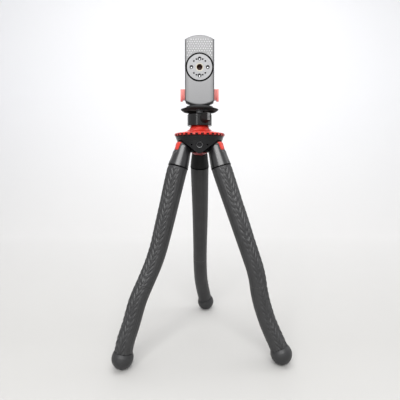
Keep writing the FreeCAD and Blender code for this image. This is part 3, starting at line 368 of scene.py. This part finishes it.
def make_stage():
    """A pale sweep behind and under the object."""
    profile = [(SWEEP_FRONT, 0.0), (SWEEP_BACK, 0.0)]
    for step in range(1, SWEEP_STEPS + 1):
        angle = math.pi / 2 * step / SWEEP_STEPS
        profile.append((SWEEP_BACK + SWEEP_BEND * math.sin(angle),
                        SWEEP_BEND * (1 - math.cos(angle))))
    profile.append((SWEEP_BACK + SWEEP_BEND, SWEEP_HIGH))
    points = [(side * SWEEP_HALF_WIDTH, y, z) for side in (-1, 1) for y, z in profile]
    count = len(profile)
    faces = [(i, i + 1, count + i + 1, count + i) for i in range(count - 1)]
    mesh = bpy.data.meshes.new("sweep")
    mesh.from_pydata(points, [], faces)
    for face in mesh.polygons:
        face.use_smooth = True
    mesh.materials.append(sweep_paint())
    floor = bpy.data.objects.new("sweep", mesh)
    bpy.context.scene.collection.objects.link(floor)


# Lights: each one's name, place, size across and up, and watts

LIGHTS = (
    ("front_softbox", (-0.04, -0.95, 0.86), (1.0, 0.5), 13),
    ("right_softbox", (1.3, 0.25, 0.75), (0.5, 0.9), 2.5),
    ("left_strip", (-0.42, -0.90, 0.42), (0.10, 0.5), 1.3),
    ("top_softbox", (0.0, 0.1, 1.25), (1.4, 1.1), 11),
)
LIGHT_TARGET = Vector((0, 0, 0.2))
FILL_COLOUR, FILL_STRENGTH = (0.95, 0.96, 0.98, 1), 0.35
ROOM_COLOUR = (0.84, 0.845, 0.86, 1)


def make_lights():
    for name, place, size, power in LIGHTS:
        data = bpy.data.lights.new(name, "AREA")
        data.shape = "RECTANGLE"
        data.size, data.size_y = size
        data.energy = power
        lamp = bpy.data.objects.new(name, data)
        lamp.location = place
        way = LIGHT_TARGET - Vector(place)
        lamp.rotation_euler = way.to_track_quat("-Z", "Y").to_euler()
        bpy.context.scene.collection.objects.link(lamp)


def make_room():
    """A dim even fill on the object, and a pale room behind it."""
    world = bpy.data.worlds.new("room")
    world.use_nodes = True
    tree = world.node_tree
    fill = tree.nodes["Background"]
    fill.inputs["Color"].default_value = FILL_COLOUR
    fill.inputs["Strength"].default_value = FILL_STRENGTH
    wall = tree.nodes.new("ShaderNodeBackground")
    wall.inputs["Color"].default_value = ROOM_COLOUR
    mix = tree.nodes.new("ShaderNodeMixShader")
    tree.links.new(seen_background(tree), mix.inputs["Fac"])
    tree.links.new(fill.outputs["Background"], mix.inputs[1])
    tree.links.new(wall.outputs["Background"], mix.inputs[2])
    tree.links.new(mix.outputs["Shader"], tree.nodes["World Output"].inputs["Surface"])
    bpy.context.scene.world = world


# Camera: its place in metres and its pitch in degrees

CAMERA_PLACE, CAMERA_PITCH = (0.00044, -0.3905, 0.209), -6.05
SENSOR_WIDTH, CLIP_START = 36, 0.01
FOCAL_PIXELS, PHOTO_PIXELS = 350, 400


def make_camera():
    data = bpy.data.cameras.new("camera")
    data.sensor_width = SENSOR_WIDTH
    data.lens = SENSOR_WIDTH * FOCAL_PIXELS / PHOTO_PIXELS
    data.clip_start = CLIP_START
    camera = bpy.data.objects.new("camera", data)
    camera.location = CAMERA_PLACE
    camera.rotation_euler = (math.radians(90 + CAMERA_PITCH), 0, 0)
    bpy.context.scene.collection.objects.link(camera)
    bpy.context.scene.camera = camera


# New pieces

def new_piece(name, places, faces, slot, finish=None):
    """A smooth piece from places in millimetres, with its slot's finish or another one."""
    mesh = bpy.data.meshes.new(name)
    mesh.from_pydata([place * MM for place in places], [], faces)
    mesh.validate()
    for face in mesh.polygons:
        face.use_smooth = True
    piece = bpy.data.objects.new(name, mesh)
    bpy.context.scene.collection.objects.link(piece)
    mesh.materials.append(MATERIALS[finish or slot])
    return piece


def turns(count):
    """The cosine and sine of equal steps round a circle."""
    return [(math.cos(2 * math.pi * step / count), math.sin(2 * math.pi * step / count))
            for step in range(count)]


def round_trip(count):
    """The same steps, and the first one again at the end."""
    return turns(count) + turns(count)[:1]


def skin(faces, low, high, sides):
    """Join two rings of places; low and high are where each ring starts in the list."""
    for step in range(sides):
        near = (step + 1) % sides
        faces.append((low + step, low + near, high + near, high + step))


# Legs: a centre line, and a rubber sleeve with rows of small leaves on its outer side

# Azimuth, and the corners of the centre line: reach outwards, height and sideways drift
LEGS = {
    "left": (210, [(44.5, 138.5, 0), (54, 107.5, 0.8), (76, 67, 3.4), (83, 46, 4.6),
                   (90.5, 27.5, 5.5), (94.1, 11.1, 5.8)]),
    "right": (330, [(50.5, 142, 0), (68.5, 92.5, 1.6), (71.8, 68, 2.6), (80, 42.5, 3.9),
                    (95.7, 11.1, 4.9)]),
    "rear": (90, [(50.5, 139, -0.8), (72.5, 75, -0.4), (84, 43.5, -2.0), (95.1, 11.1, -8.6)]),
}
# The hinge, the straight run that leans out below it, and the share of a run that an arc takes
PIVOT_REACH, PIVOT_HIGH = 20.2, 224.5
FIRST_LEAN, FIRST_RUN = math.radians(18), 26.0
ARC_SHARE = 0.45
# Distances along the centre line from the hinge, and the sleeve's depth of seat in the foot
SLEEVE_START, KNEE, ANKLE = 21.4, 132.0, 172.0
MIDDLE_SPLIT = (KNEE + ANKLE) / 2
BEND_ZONE, FOOT_SEAT = 15.0, 3.5
# The sleeve's radius at the socket, at the knee and below it, and its wall
SLEEVE_TOP, SLEEVE_KNEE, SLEEVE_LOW, SLEEVE_WALL = 10.6, 9.15, 9.0, 1.6


class Route:
    """A leg's centre line: straight runs with tangent arcs."""

    def __init__(self, azimuth, corners):
        turn = math.radians(azimuth)
        self.outward = Vector((math.cos(turn), math.sin(turn), 0))
        aside = Vector((-math.sin(turn), math.cos(turn), 0))
        up = Vector((0, 0, 1))
        pivot = self.outward * PIVOT_REACH + up * PIVOT_HIGH
        hip = pivot + (self.outward * math.sin(FIRST_LEAN) - up * math.cos(FIRST_LEAN)) * FIRST_RUN
        points = [pivot, hip]
        for reach, high, drift in corners:
            points.append(self.outward * reach + aside * drift + up * high)
        self.spans = []
        start = points[0]
        for before, corner, after in zip(points, points[1:], points[2:]):
            into = (corner - before).normalized()
            out = (after - corner).normalized()
            half = into.angle(out) / 2
            reach = ARC_SHARE * min((corner - before).length, (corner - after).length)
            entry, leave = corner - into * reach, corner + out * reach
            centre = corner + (out - into).normalized() * reach / math.sin(half)
            self.spans.append((start, entry, None))
            self.spans.append((entry, leave, centre))
            start = leave
        self.spans.append((start, points[-1], None))
        self.length = sum(self.span_length(span) for span in self.spans)

    @staticmethod
    def span_length(span):
        first, last, centre = span
        if centre is None:
            return (last - first).length
        return (first - centre).length * (first - centre).angle(last - centre)

    def at(self, along):
        """Point and direction at a distance from the hinge."""
        for span in self.spans:
            first, last, centre = span
            length = self.span_length(span)
            if along <= length or span is self.spans[-1]:
                break
            along -= length
        if centre is None:
            way = (last - first).normalized()
            return first + way * along, way
        arm = first - centre
        axis = arm.cross(last - centre).normalized()
        arm = Matrix.Rotation(along / arm.length, 3, axis) @ arm
        return centre + arm, axis.cross(arm).normalized()

    def spokes(self, along, angles):
        """The centre there, and the ways out of it at angles from the leg's outer side."""
        point, way = self.at(along)
        out = (self.outward - way * self.outward.dot(way)).normalized()
        aside = way.cross(out)
        turned = [math.radians(angle) for angle in angles]
        return point, [out * math.cos(turn) + aside * math.sin(turn) for turn in turned]


ROUTES = {name: Route(*LEGS[name]) for name in LEGS}


def sleeve_radius(along):
    """The sleeve's radius: tapered down to the knee's bend zone and even below it."""
    top_of_bend = KNEE - BEND_ZONE / 2
    if along < top_of_bend:
        share = (along - SLEEVE_START) / (top_of_bend - SLEEVE_START)
        return SLEEVE_TOP + share * (SLEEVE_KNEE - SLEEVE_TOP)
    if along < KNEE + BEND_ZONE / 2:
        share = (along - top_of_bend) / BEND_ZONE
        return SLEEVE_KNEE + share * (SLEEVE_LOW - SLEEVE_KNEE)
    return SLEEVE_LOW


# Each half of the outer side has a spine, and the leaves lean away from it on both sides
SPINE_ANGLE, PATCH_HALF_ANGLE = 43.0, 74.0
LEAF_TILT = math.radians(21)
LEAF_ROW, LEAF_PITCH = 2.6, 11.6
# How far each row, and each spine's outer side, is shifted along, as a share of the pitch
LEAF_SHIFT, LEAF_SIDE_SHIFT = 0.42, 0.21
LEAF_LONG, LEAF_HALF_WIDTH, LEAF_HIGH = 9.8, 1.125, 0.78
LEAF_LEAST_WIDTH, LEAF_GROUND = 0.05, -0.25
LEAF_TAPER, LEAF_ROUNDNESS = 0.6, 0.7
# The plain side: a low rim along the leaves, shallow flutes and a mould seam
RIM_HIGH, RIM_ANGLE = 0.12, 2.0
PLAIN_GROUND = -0.05
FLUTE_HIGH, FLUTE_ANGLE, FLUTE_FADE_ANGLE = 0.09, 13.8, 12.0
SEAM_DEEP, SEAM_ANGLE, SEAM_HALF_ANGLE = 0.16, 124.0, 2.2
# The relief starts just below the socket's rim and grows to its full height
RELIEF_START, RELIEF_GROWTH = 0.6, 3.0
AROUND, RING_STEP = 132, 0.75


def plain_height(off):
    """Height of the plain side's relief at an angle from the leg's outer side."""
    past = off - PATCH_HALF_ANGLE
    seam = SEAM_DEEP * max(0.0, 1 - abs(off - SEAM_ANGLE) / SEAM_HALF_ANGLE)
    flute = FLUTE_HIGH * min(1.0, past / FLUTE_FADE_ANGLE)
    flute *= math.cos(2 * math.pi * off / FLUTE_ANGLE)
    rim = RIM_HIGH * max(0.0, 1 - past / RIM_ANGLE)
    return PLAIN_GROUND + flute + rim - seam


def leaf_height(along, off, radius):
    """Height of the leaves at a distance along the leg and an angle from its outer side."""
    across = math.radians(off - SPINE_ANGLE) * radius
    shift = LEAF_SIDE_SHIFT if across >= 0 else 0.0
    across = abs(across)
    rows = across * math.cos(LEAF_TILT) + along * math.sin(LEAF_TILT)
    length = along * math.cos(LEAF_TILT) - across * math.sin(LEAF_TILT)
    row = math.floor(rows / LEAF_ROW)
    beside = rows - (row + 0.5) * LEAF_ROW
    from_middle = length / LEAF_PITCH - row * LEAF_SHIFT - shift
    from_middle = (from_middle - math.floor(from_middle) - 0.5) * LEAF_PITCH
    taper = max(0.0, 1 - (2 * from_middle / LEAF_LONG) ** 2) ** LEAF_TAPER
    half_width = LEAF_HALF_WIDTH * taper
    if half_width <= LEAF_LEAST_WIDTH or abs(beside) >= half_width:
        return LEAF_GROUND
    bulge = (1 - (beside / half_width) ** 2) ** LEAF_ROUNDNESS * math.sqrt(taper)
    return LEAF_GROUND + LEAF_HIGH * bulge


def relief_height(along, angle, radius):
    """Height of the sleeve's relief; both halves of the leg mirror each other."""
    off = abs(angle)
    if off > PATCH_HALF_ANGLE:
        return plain_height(off)
    return leaf_height(along, off, radius)


def sleeve_piece(name, route, start, end):
    """One length of sleeve: its outside with the relief, turned in at the ends."""
    angles = [360 * step / AROUND for step in range(AROUND)]
    angles = [angle if angle <= 180 else angle - 360 for angle in angles]
    count = max(2, round((end - start) / RING_STEP))
    places, faces = [], []
    for ring in range(count + 1):
        along = start + (end - start) * ring / count
        radius = sleeve_radius(along)
        growth = min(1.0, max(0.0, (along - SLEEVE_START - RELIEF_START) / RELIEF_GROWTH))
        point, ways = route.spokes(along, angles)
        for angle, way in zip(angles, ways):
            places.append(point + way * (radius + growth * relief_height(along, angle, radius)))
    for ring in range(count):
        skin(faces, ring * AROUND, (ring + 1) * AROUND, AROUND)
    for edge, along in ((0, start), (count * AROUND, end)):
        inner = len(places)
        point, ways = route.spokes(along, angles)
        places += [point + way * (sleeve_radius(along) - SLEEVE_WALL) for way in ways]
        low, high = (inner, edge) if edge == 0 else (edge, inner)
        skin(faces, low, high, AROUND)
    return new_piece(name, places, faces, "leg_rubber")


def make_legs():
    for name, route in ROUTES.items():
        upper = sleeve_piece(name + "_sleeve_upper", route, SLEEVE_START, MIDDLE_SPLIT)
        lower = sleeve_piece(name + "_sleeve_lower", route, MIDDLE_SPLIT,
                             route.length - FOOT_SEAT)
        for piece, bodies, joint in ((upper, ("upper", "middle"), KNEE),
                                     (lower, ("middle", "lower"), ANKLE)):
            start = route.at(joint - BEND_ZONE / 2)[0] * MM
            end = route.at(joint + BEND_ZONE / 2)[0] * MM
            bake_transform(piece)
        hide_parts(name + "_upper_sleeve", name + "_middle_sleeve",
                    name + "_bend_sleeves", name + "_core")
        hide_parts(name + "_lower_sleeve")


# Small mouldings, each with its own shape

RIDGE_STEPS = 6
# How round a moulding's back is, how deep its edges sink, and its size at its ends
RIDGE_ROUNDNESS, RIDGE_SINK, RIDGE_END = 0.7, 0.2, 0.55


def ridge_mesh(places, faces, path, half_width, high):
    """Add one rounded moulding; the path lists places with their outward directions."""
    base = len(places)
    count = len(path)
    row = RIDGE_STEPS + 1
    for index, (point, normal) in enumerate(path):
        before = path[max(index - 1, 0)][0]
        after = path[min(index + 1, count - 1)][0]
        side = (after - before).normalized().cross(normal).normalized()
        swell = RIDGE_END if index in (0, count - 1) else 1.0
        for step in range(row):
            turn = math.pi * step / RIDGE_STEPS
            lift = math.sin(turn) ** RIDGE_ROUNDNESS * high * swell
            if step in (0, RIDGE_STEPS):
                lift -= RIDGE_SINK
            places.append(point + side * math.cos(turn) * half_width * swell + normal * lift)
    for index in range(count - 1):
        low = base + index * row
        for step in range(RIDGE_STEPS):
            a = low + step
            faces.append((a, a + 1, a + row + 1, a + row))
        faces.append((low, low + row, low + row + RIDGE_STEPS, low + RIDGE_STEPS))
    faces.append(tuple(base + step for step in range(row))[::-1])
    faces.append(tuple(base + (count - 1) * row + step for step in range(row)))


def ridges(name, paths, half_width, high, slot, body, finish=None):
    """A piece that is one moulding along each path, and that moves with a body."""
    places, faces = [], []
    for path in paths:
        ridge_mesh(places, faces, path, half_width, high)
    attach(new_piece(name, places, faces, slot, finish), body)


def straight(start, end, normal, steps):
    """A straight path with the same outward direction all along."""
    start, end, normal = Vector(start), Vector(end), Vector(normal)
    return [(start.lerp(end, step / steps), normal) for step in range(steps + 1)]


# Clamp: raised dots on the cover, ribs on the wings

COVER_LOW, COVER_HIGH = box_in_mm("clamp_cover")
COVER_HALF, COVER_FRONT, COVER_TOP = COVER_HIGH.x, COVER_LOW.y, COVER_HIGH.z
DISC_LOW, DISC_HIGH = box_in_mm("thread_disc")
DISC_FACE, DISC_Z = DISC_LOW.y, (DISC_LOW.z + DISC_HIGH.z) / 2
DOT_ROW, DOT_COLUMN = 2.3, 2.55
DOT_RADIUS, DOT_HIGH, DOT_SINK = 0.66, 0.24, 0.05
DOT_SIDES, DOT_RINGS = 10, 3
DOT_TOP_ROW, DOT_LEAST_SHARE = COVER_TOP - 2.6, 0.05
# Margins without dots: at the cover's sides, round the disc and under the arched top
DOT_SIDE_MARGIN, DOT_DISC_RADIUS, DOT_TOP_MARGIN, ARCH_RISE = 1.7, 15.6, 2.9, 4.5
# The dots fade out downwards, from lower heights on the right half than on the left
DOT_FADE_RIGHT_Z, DOT_FADE_LEFT_Z, DOT_FADE = 305.0, 314.0, 8.0


def dot_shown(x, z):
    """How high a dot stands there, as a share of the full height."""
    beside = abs(x) > COVER_HALF - DOT_SIDE_MARGIN
    if beside or math.hypot(x, z - DISC_Z) < DOT_DISC_RADIUS:
        return 0.0
    arch = COVER_TOP - (abs(x) / COVER_HALF) ** 2 * ARCH_RISE
    if z > arch - DOT_TOP_MARGIN:
        return 0.0
    low = DOT_FADE_RIGHT_Z if x > 0 else DOT_FADE_LEFT_Z
    return max(0.0, min(1.0, (z - low) / DOT_FADE))


def add_dot(places, faces, x, z, high):
    """One dome on the cover's face."""
    base = len(places)
    for ring in range(DOT_RINGS):
        turn = math.pi / 2 * ring / DOT_RINGS
        radius = DOT_RADIUS * math.cos(turn)
        depth = high * math.sin(turn) - (DOT_SINK if ring == 0 else 0)
        for cosine, sine in turns(DOT_SIDES):
            places.append(Vector((x + radius * cosine, COVER_FRONT - depth, z + radius * sine)))
    places.append(Vector((x, COVER_FRONT - high, z)))
    for ring in range(DOT_RINGS - 1):
        low = base + ring * DOT_SIDES
        skin(faces, low, low + DOT_SIDES, DOT_SIDES)
    top = len(places) - 1
    low = top - DOT_SIDES
    for step in range(DOT_SIDES):
        faces.append((low + step, low + (step + 1) % DOT_SIDES, top))
    faces.append(tuple(base + step for step in range(DOT_SIDES))[::-1])


def make_cover_dots():
    places, faces = [], []
    across = int(COVER_HALF / DOT_COLUMN) + 1
    rows = int((DOT_TOP_ROW - DOT_FADE_RIGHT_Z) / DOT_ROW) + 1
    for row in range(rows):
        z = DOT_TOP_ROW - row * DOT_ROW
        for column in range(-across, across + 1):
            x = (column + row % 2 / 2) * DOT_COLUMN
            share = dot_shown(x, z)
            if share > DOT_LEAST_SHARE:
                add_dot(places, faces, x, z, DOT_HIGH * share)
    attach(new_piece("cover_dots", places, faces, "cover_grey", "cover_dots"), "clamp")


WING_FRONT = box_in_mm("lower_jaw")[0].y
WING_IN, WING_OUT = 16.2, 20.4
WING_TOP, WING_LOW, WING_HOOK_LOW = 288.0, 277.6, 276.1
WING_RIBS, WING_RIB_STEPS = 4, 8
WING_RIB_HALF, WING_RIB_HIGH = 0.38, 0.42


def make_wing_ribs():
    """Upright ribs on both wings; the outermost reaches down onto the hook."""
    paths = []
    for side in (-1, 1):
        for index in range(WING_RIBS):
            x = side * (WING_IN + (index + 0.5) * (WING_OUT - WING_IN) / WING_RIBS)
            low = WING_HOOK_LOW if index == WING_RIBS - 1 else WING_LOW
            paths.append(straight((x, WING_FRONT, low), (x, WING_FRONT, WING_TOP), (0, -1, 0),
                                  WING_RIB_STEPS))
    ridges("wing_ribs", paths, WING_RIB_HALF, WING_RIB_HIGH, "red_jaw", "clamp")


# Head: ribs across the end of the lock knob, painted pale grey as a highlight

KNOB_LOW, KNOB_HIGH = box_in_mm("lock_knob")
LOCK_TURN, LOCK_Z = math.radians(-64), (KNOB_LOW.z + KNOB_HIGH.z) / 2
KNOB_END, KNOB_FACE_RADIUS = 21.8, 4.1
KNOB_RIBS, KNOB_RIB_PITCH, KNOB_RIB_STEPS = 6, 1.25, 5
KNOB_RIB_REACH, KNOB_RIB_HALF, KNOB_RIB_HIGH = 1.6, 0.40, 0.3


def make_knob_ribs():
    out = Vector((math.cos(LOCK_TURN), math.sin(LOCK_TURN), 0))
    side = Vector((-out.y, out.x, 0))
    paths = []
    for index in range(KNOB_RIBS):
        above = (index - (KNOB_RIBS - 1) / 2) * KNOB_RIB_PITCH
        half = min(KNOB_RIB_REACH, math.sqrt(KNOB_FACE_RADIUS ** 2 - above ** 2))
        centre = out * KNOB_END + Vector((0, 0, LOCK_Z + above))
        paths.append(straight(centre - side * half, centre + side * half, out, KNOB_RIB_STEPS))
    ridges("knob_ribs", paths, KNOB_RIB_HALF, KNOB_RIB_HIGH, "head_black", "knob", "grip_highlight_grey")


# Hub panels: a raised lip along the two lower edges, and a thread and lip in each hole

PANEL_AZIMUTHS = (270, 30, 150)
PANEL_HIGH_Z, PANEL_LOW_Z = 232.0, 219.3
PANEL_HALF, PANEL_TIP = 17.3, 1.2
PANEL_HIGH_RADIUS, PANEL_LOW_RADIUS = box_in_mm("hub_panels")[1].x, 24.0
PANEL_LIP_STEPS, PANEL_LIP_HALF, PANEL_LIP_HIGH = 18, 0.62, 0.5
HOLE_Z, HOLE_LIP_RADIUS, HOLE_FRONT, HOLE_THREAD = 228.0, 3.55, 20.4, 5.0
HOLE_LIP_STEPS, HOLE_LIP_HALF, HOLE_LIP_HIGH = 32, 0.3, 0.12


def on_panel(azimuth, across, z):
    """A place on a panel's curved face, with its outward direction."""
    share = (PANEL_HIGH_Z - z) / (PANEL_HIGH_Z - PANEL_LOW_Z)
    radius = PANEL_HIGH_RADIUS + share * (PANEL_LOW_RADIUS - PANEL_HIGH_RADIUS)
    angle = math.radians(azimuth) + math.asin(across / radius)
    normal = Vector((math.cos(angle), math.sin(angle), 0))
    return normal * radius + Vector((0, 0, z)), normal


def make_panel_lips():
    paths = []
    for azimuth in PANEL_AZIMUTHS:
        for side in (-1, 1):
            path = []
            for step in range(PANEL_LIP_STEPS + 1):
                share = step / PANEL_LIP_STEPS
                across = side * (PANEL_HALF + share * (PANEL_TIP - PANEL_HALF))
                z = PANEL_HIGH_Z + share * (PANEL_LOW_Z - PANEL_HIGH_Z)
                path.append(on_panel(azimuth, across, z))
            paths.append(path)
    ridges("panel_lips", paths, PANEL_LIP_HALF, PANEL_LIP_HIGH, "hub_black", "base")


def make_accessory_lips():
    """A rounded lip round each accessory hole."""
    paths = [[on_panel(azimuth, HOLE_LIP_RADIUS * cosine, HOLE_Z + HOLE_LIP_RADIUS * sine)
              for cosine, sine in round_trip(HOLE_LIP_STEPS)] for azimuth in PANEL_AZIMUTHS]
    ridges("accessory_lips", paths, HOLE_LIP_HALF, HOLE_LIP_HIGH, "hub_black", "base")


# Threads in the panels and the disc: the bore's radius, the crest's, and a turn's profile

THREAD_RADIUS, THREAD_CREST, THREAD_PITCH = 3.18, 2.62, 1.27
THREAD_WALL = THREAD_RADIUS + 0.02
THREAD_PROFILE = ((THREAD_WALL, -0.42), (THREAD_CREST, -0.1), (THREAD_CREST, 0.1),
                  (THREAD_WALL, 0.42))
THREAD_SIDES, THREAD_FADE_STEPS, THREAD_START = 40, 8, 0.45


def thread_turns(places, faces, long, locate):
    """A screw thread on a bore's wall; locate turns (across, depth, up) into a place."""
    base = len(places)
    corners = len(THREAD_PROFILE)
    steps = int(long / THREAD_PITCH * THREAD_SIDES)
    for step in range(steps + 1):
        turn = 2 * math.pi * step / THREAD_SIDES
        fade = min(1.0, step / THREAD_FADE_STEPS, (steps - step) / THREAD_FADE_STEPS)
        depth = THREAD_START + step / THREAD_SIDES * THREAD_PITCH
        for radius, shift in THREAD_PROFILE:
            reach = THREAD_WALL - (THREAD_WALL - radius) * fade
            places.append(locate(reach * math.cos(turn), depth + shift * fade,
                                 reach * math.sin(turn)))
    for step in range(steps):
        low = base + step * corners
        for side in range(corners):
            a, near = low + side, low + (side + 1) % corners
            faces.append((a, near, near + corners, a + corners))


def make_accessory_threads():
    places, faces = [], []
    for azimuth in PANEL_AZIMUTHS:
        angle = math.radians(azimuth)
        out = Vector((math.cos(angle), math.sin(angle), 0))
        side = Vector((-math.sin(angle), math.cos(angle), 0))
        thread_turns(places, faces, HOLE_THREAD, lambda x, y, z, out=out, side=side:
                     out * (HOLE_FRONT - y) + side * x + Vector((0, 0, HOLE_Z + z)))
    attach(new_piece("accessory_thread_turns", places, faces, "steel", "insert_steel"), "base")


# Wheel: painted shade, a dark lining in each gap between the teeth

WHEEL_LOW, WHEEL_HIGH = box_in_mm("lock_wheel")
WHEEL_TEETH, GAP_RADIUS, GAP_HIGH = 30, 1.45, 1.8
GAP_SHIFT, GAP_PLAY, GAP_THICK, GAP_STEPS = 0.1, 0.02, 0.08, 12
# Where a painted shade lining starts round its gap's middle, from straight outwards, and how far
# it reaches
GAP_FROM, GAP_SWEEP = 96, 168


def make_wheel_gap_shade():
    places, faces = [], []
    row = GAP_STEPS + 1
    low, roof = WHEEL_LOW.z + GAP_SHIFT, WHEEL_LOW.z + GAP_HIGH - GAP_PLAY
    outer = GAP_RADIUS - GAP_PLAY
    inner = outer - GAP_THICK
    profile = ((outer, low), (outer, roof), (inner, roof - GAP_THICK), (inner, low))
    for tooth in range(WHEEL_TEETH):
        middle = 2 * math.pi * tooth / WHEEL_TEETH
        centre = Vector((math.cos(middle), math.sin(middle), 0)) * WHEEL_HIGH.x
        base = len(places)
        for radius, z in profile:
            for step in range(row):
                turn = middle + math.radians(GAP_FROM + GAP_SWEEP * step / GAP_STEPS)
                places.append(centre + Vector((radius * math.cos(turn),
                                               radius * math.sin(turn), z)))
        rings = [base + index * row for index in range(len(profile))]
        for here, there in zip(rings, rings[1:] + rings[:1]):
            for step in range(GAP_STEPS):
                faces.append((here + step, here + step + 1, there + step + 1, there + step))
        faces.append(tuple(rings)[::-1])
        faces.append(tuple(ring + GAP_STEPS for ring in rings))
        faces.append(tuple(rings[2] + step for step in range(row)))
    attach(new_piece("wheel_gap_shade_linings", places, faces, "red_plastic", "gap_shade_red"), "wheel")


# Disc: dark linings of painted shade and small screw heads in its holes, and the thread in its
# middle in a painted shade lining

HOLE_CIRCLE, SCREW_DEPTH = 8.6, 0.66
# Painted shade linings of the screw holes and the pin holes: radius and depth behind the disc's
# face
SCREW_LINING = ((1.96, 0.05), (1.86, 0.3), (1.71, SCREW_DEPTH))
PIN_LINING = ((0.92, 0.05), (0.84, 0.4), (0.72, 0.9))
SCREW_ANGLES = (0, 90, 180, 270)
PIN_ANGLES = (45, 135, 225, 315, 67.5, 112.5, 247.5, 292.5)
# The screws' domed heads, a little below the middle of their holes
CROWN_DROP = 0.62
CROWN = ((0.85, SCREW_DEPTH + 0.02), (0.8, SCREW_DEPTH - 0.15), (0.6, SCREW_DEPTH - 0.28),
         (0.3, SCREW_DEPTH - 0.34))
SCREW_SIDES, PIN_SIDES, CROWN_SIDES, BORE_SIDES = 28, 20, 24, 40
INSERT_FRONT = box_in_mm("thread_insert")[0].y
THREAD_FRONT, DISC_THREAD = -8.7, 2.9
BORE_LINING = ((THREAD_RADIUS, 0.1), (THREAD_RADIUS, 4.3))
LIP_RADIUS, LIP_STEPS, LIP_HALF, LIP_HIGH = 14.1, 96, 0.85, 0.22


def cup(places, faces, centre, rings, sides):
    """A turned shape about Y; each ring gives its radius and its depth behind the centre."""
    base = len(places)
    for radius, depth in rings:
        for cosine, sine in turns(sides):
            places.append(centre + Vector((radius * cosine, depth, radius * sine)))
    for ring in range(len(rings) - 1):
        low = base + ring * sides
        skin(faces, low, low + sides, sides)
    last = len(places) - sides
    faces.append(tuple(last + step for step in range(sides)))


def on_hole_circle(angle):
    """The middle of a hole in the disc's face."""
    turn = math.radians(angle)
    return Vector((HOLE_CIRCLE * math.cos(turn), DISC_FACE,
                   DISC_Z + HOLE_CIRCLE * math.sin(turn)))


def make_disc_hole_shade():
    places, faces = [], []
    for angle in SCREW_ANGLES:
        cup(places, faces, on_hole_circle(angle), SCREW_LINING, SCREW_SIDES)
    for angle in PIN_ANGLES:
        cup(places, faces, on_hole_circle(angle), PIN_LINING, PIN_SIDES)
    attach(new_piece("disc_hole_shade_linings", places, faces, "clamp_black"), "disc")


def make_disc_screws():
    places, faces = [], []
    for angle in SCREW_ANGLES:
        cup(places, faces, on_hole_circle(angle) - Vector((0, 0, CROWN_DROP)), CROWN,
            CROWN_SIDES)
    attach(new_piece("disc_screw_crowns", places, faces, "steel"), "disc")


def make_disc_rim():
    """A black lip that covers the joint between the ring and the cover."""
    centre = Vector((0, COVER_FRONT, DISC_Z))
    path = [(Vector((cosine, 0, sine)) * LIP_RADIUS + centre, Vector((0, -1, 0)))
            for cosine, sine in round_trip(LIP_STEPS)]
    ridges("disc_rim_lip", [path], LIP_HALF, LIP_HIGH, "clamp_black", "clamp", "seam_black")


def make_disc_thread():
    places, faces = [], []
    thread_turns(places, faces, DISC_THREAD,
                 lambda x, y, z: Vector((x, THREAD_FRONT + y, DISC_Z + z)))
    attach(new_piece("disc_thread_turns", places, faces, "brass", "turn_shaded_brass"), "disc")
    # A dark lining of painted shade inside the bore
    places, faces = [], []
    cup(places, faces, Vector((0, INSERT_FRONT, DISC_Z)), BORE_LINING, BORE_SIDES)
    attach(new_piece("disc_thread_shade_lining", places, faces, "brass", "bore_shade_brown"), "disc")


# Sockets: two fine ridges down the outer side, painted grey as a highlight, and a dark line under
# the rim

SOCKET_TOP_RADIUS, SOCKET_RIM_RADIUS, SOCKET_LONG = 8.6, 10.85, 20.1
# Each ridge's course from the button's lower corner: angle from the outer side, distance
RIDGE_COURSE = ((27.5, 5.3), (26.5, 5.9), (22.0, 6.7), (15.5, 7.6), (9.5, 8.9), (6.0, 10.6),
                (5.0, 12.6), (4.8, 15.0), (4.8, 17.4), (4.8, 19.5))
SOCKET_RIDGE_HALF, SOCKET_RIDGE_HIGH = 0.46, 0.36
SEAM_ALONG, SEAM_STEPS, SEAM_HALF, SEAM_HIGH = 20.75, 48, 0.42, 0.12


def on_socket(route, along, angle, radius):
    """A place on a leg's socket, with its outward direction."""
    point, (normal,) = route.spokes(along, [angle])
    return point + normal * radius, normal


def make_socket_ridges():
    widening = (SOCKET_RIM_RADIUS - SOCKET_TOP_RADIUS) / SOCKET_LONG
    for name, route in ROUTES.items():
        paths = [[on_socket(route, along, side * angle, SOCKET_TOP_RADIUS + widening * along)
                  for angle, along in RIDGE_COURSE] for side in (-1, 1)]
        ridges(name + "_socket_ridges", paths, SOCKET_RIDGE_HALF, SOCKET_RIDGE_HIGH,
               "socket_gloss", name + "_upper_leg", "ridge_highlight_grey")


def make_socket_seams():
    """A dark line under each socket's rim, where the sleeve comes out."""
    for name, route in ROUTES.items():
        path = [on_socket(route, SEAM_ALONG, 360 * step / SEAM_STEPS, SOCKET_RIM_RADIUS)
                for step in range(SEAM_STEPS + 1)]
        ridges(name + "_socket_seam", [path], SEAM_HALF, SEAM_HIGH, "socket_gloss",
               name + "_upper_leg", "seam_black")


make_stage()
make_lights()
make_room()
make_camera()
make_legs()
make_cover_dots()
make_wing_ribs()
make_knob_ribs()
make_panel_lips()
make_accessory_lips()
make_accessory_threads()
make_wheel_gap_shade()
make_disc_hole_shade()
make_disc_screws()
make_disc_rim()
make_disc_thread()
make_socket_ridges()
make_socket_seams()
bpy.context.scene.view_settings.view_transform = "Standard"
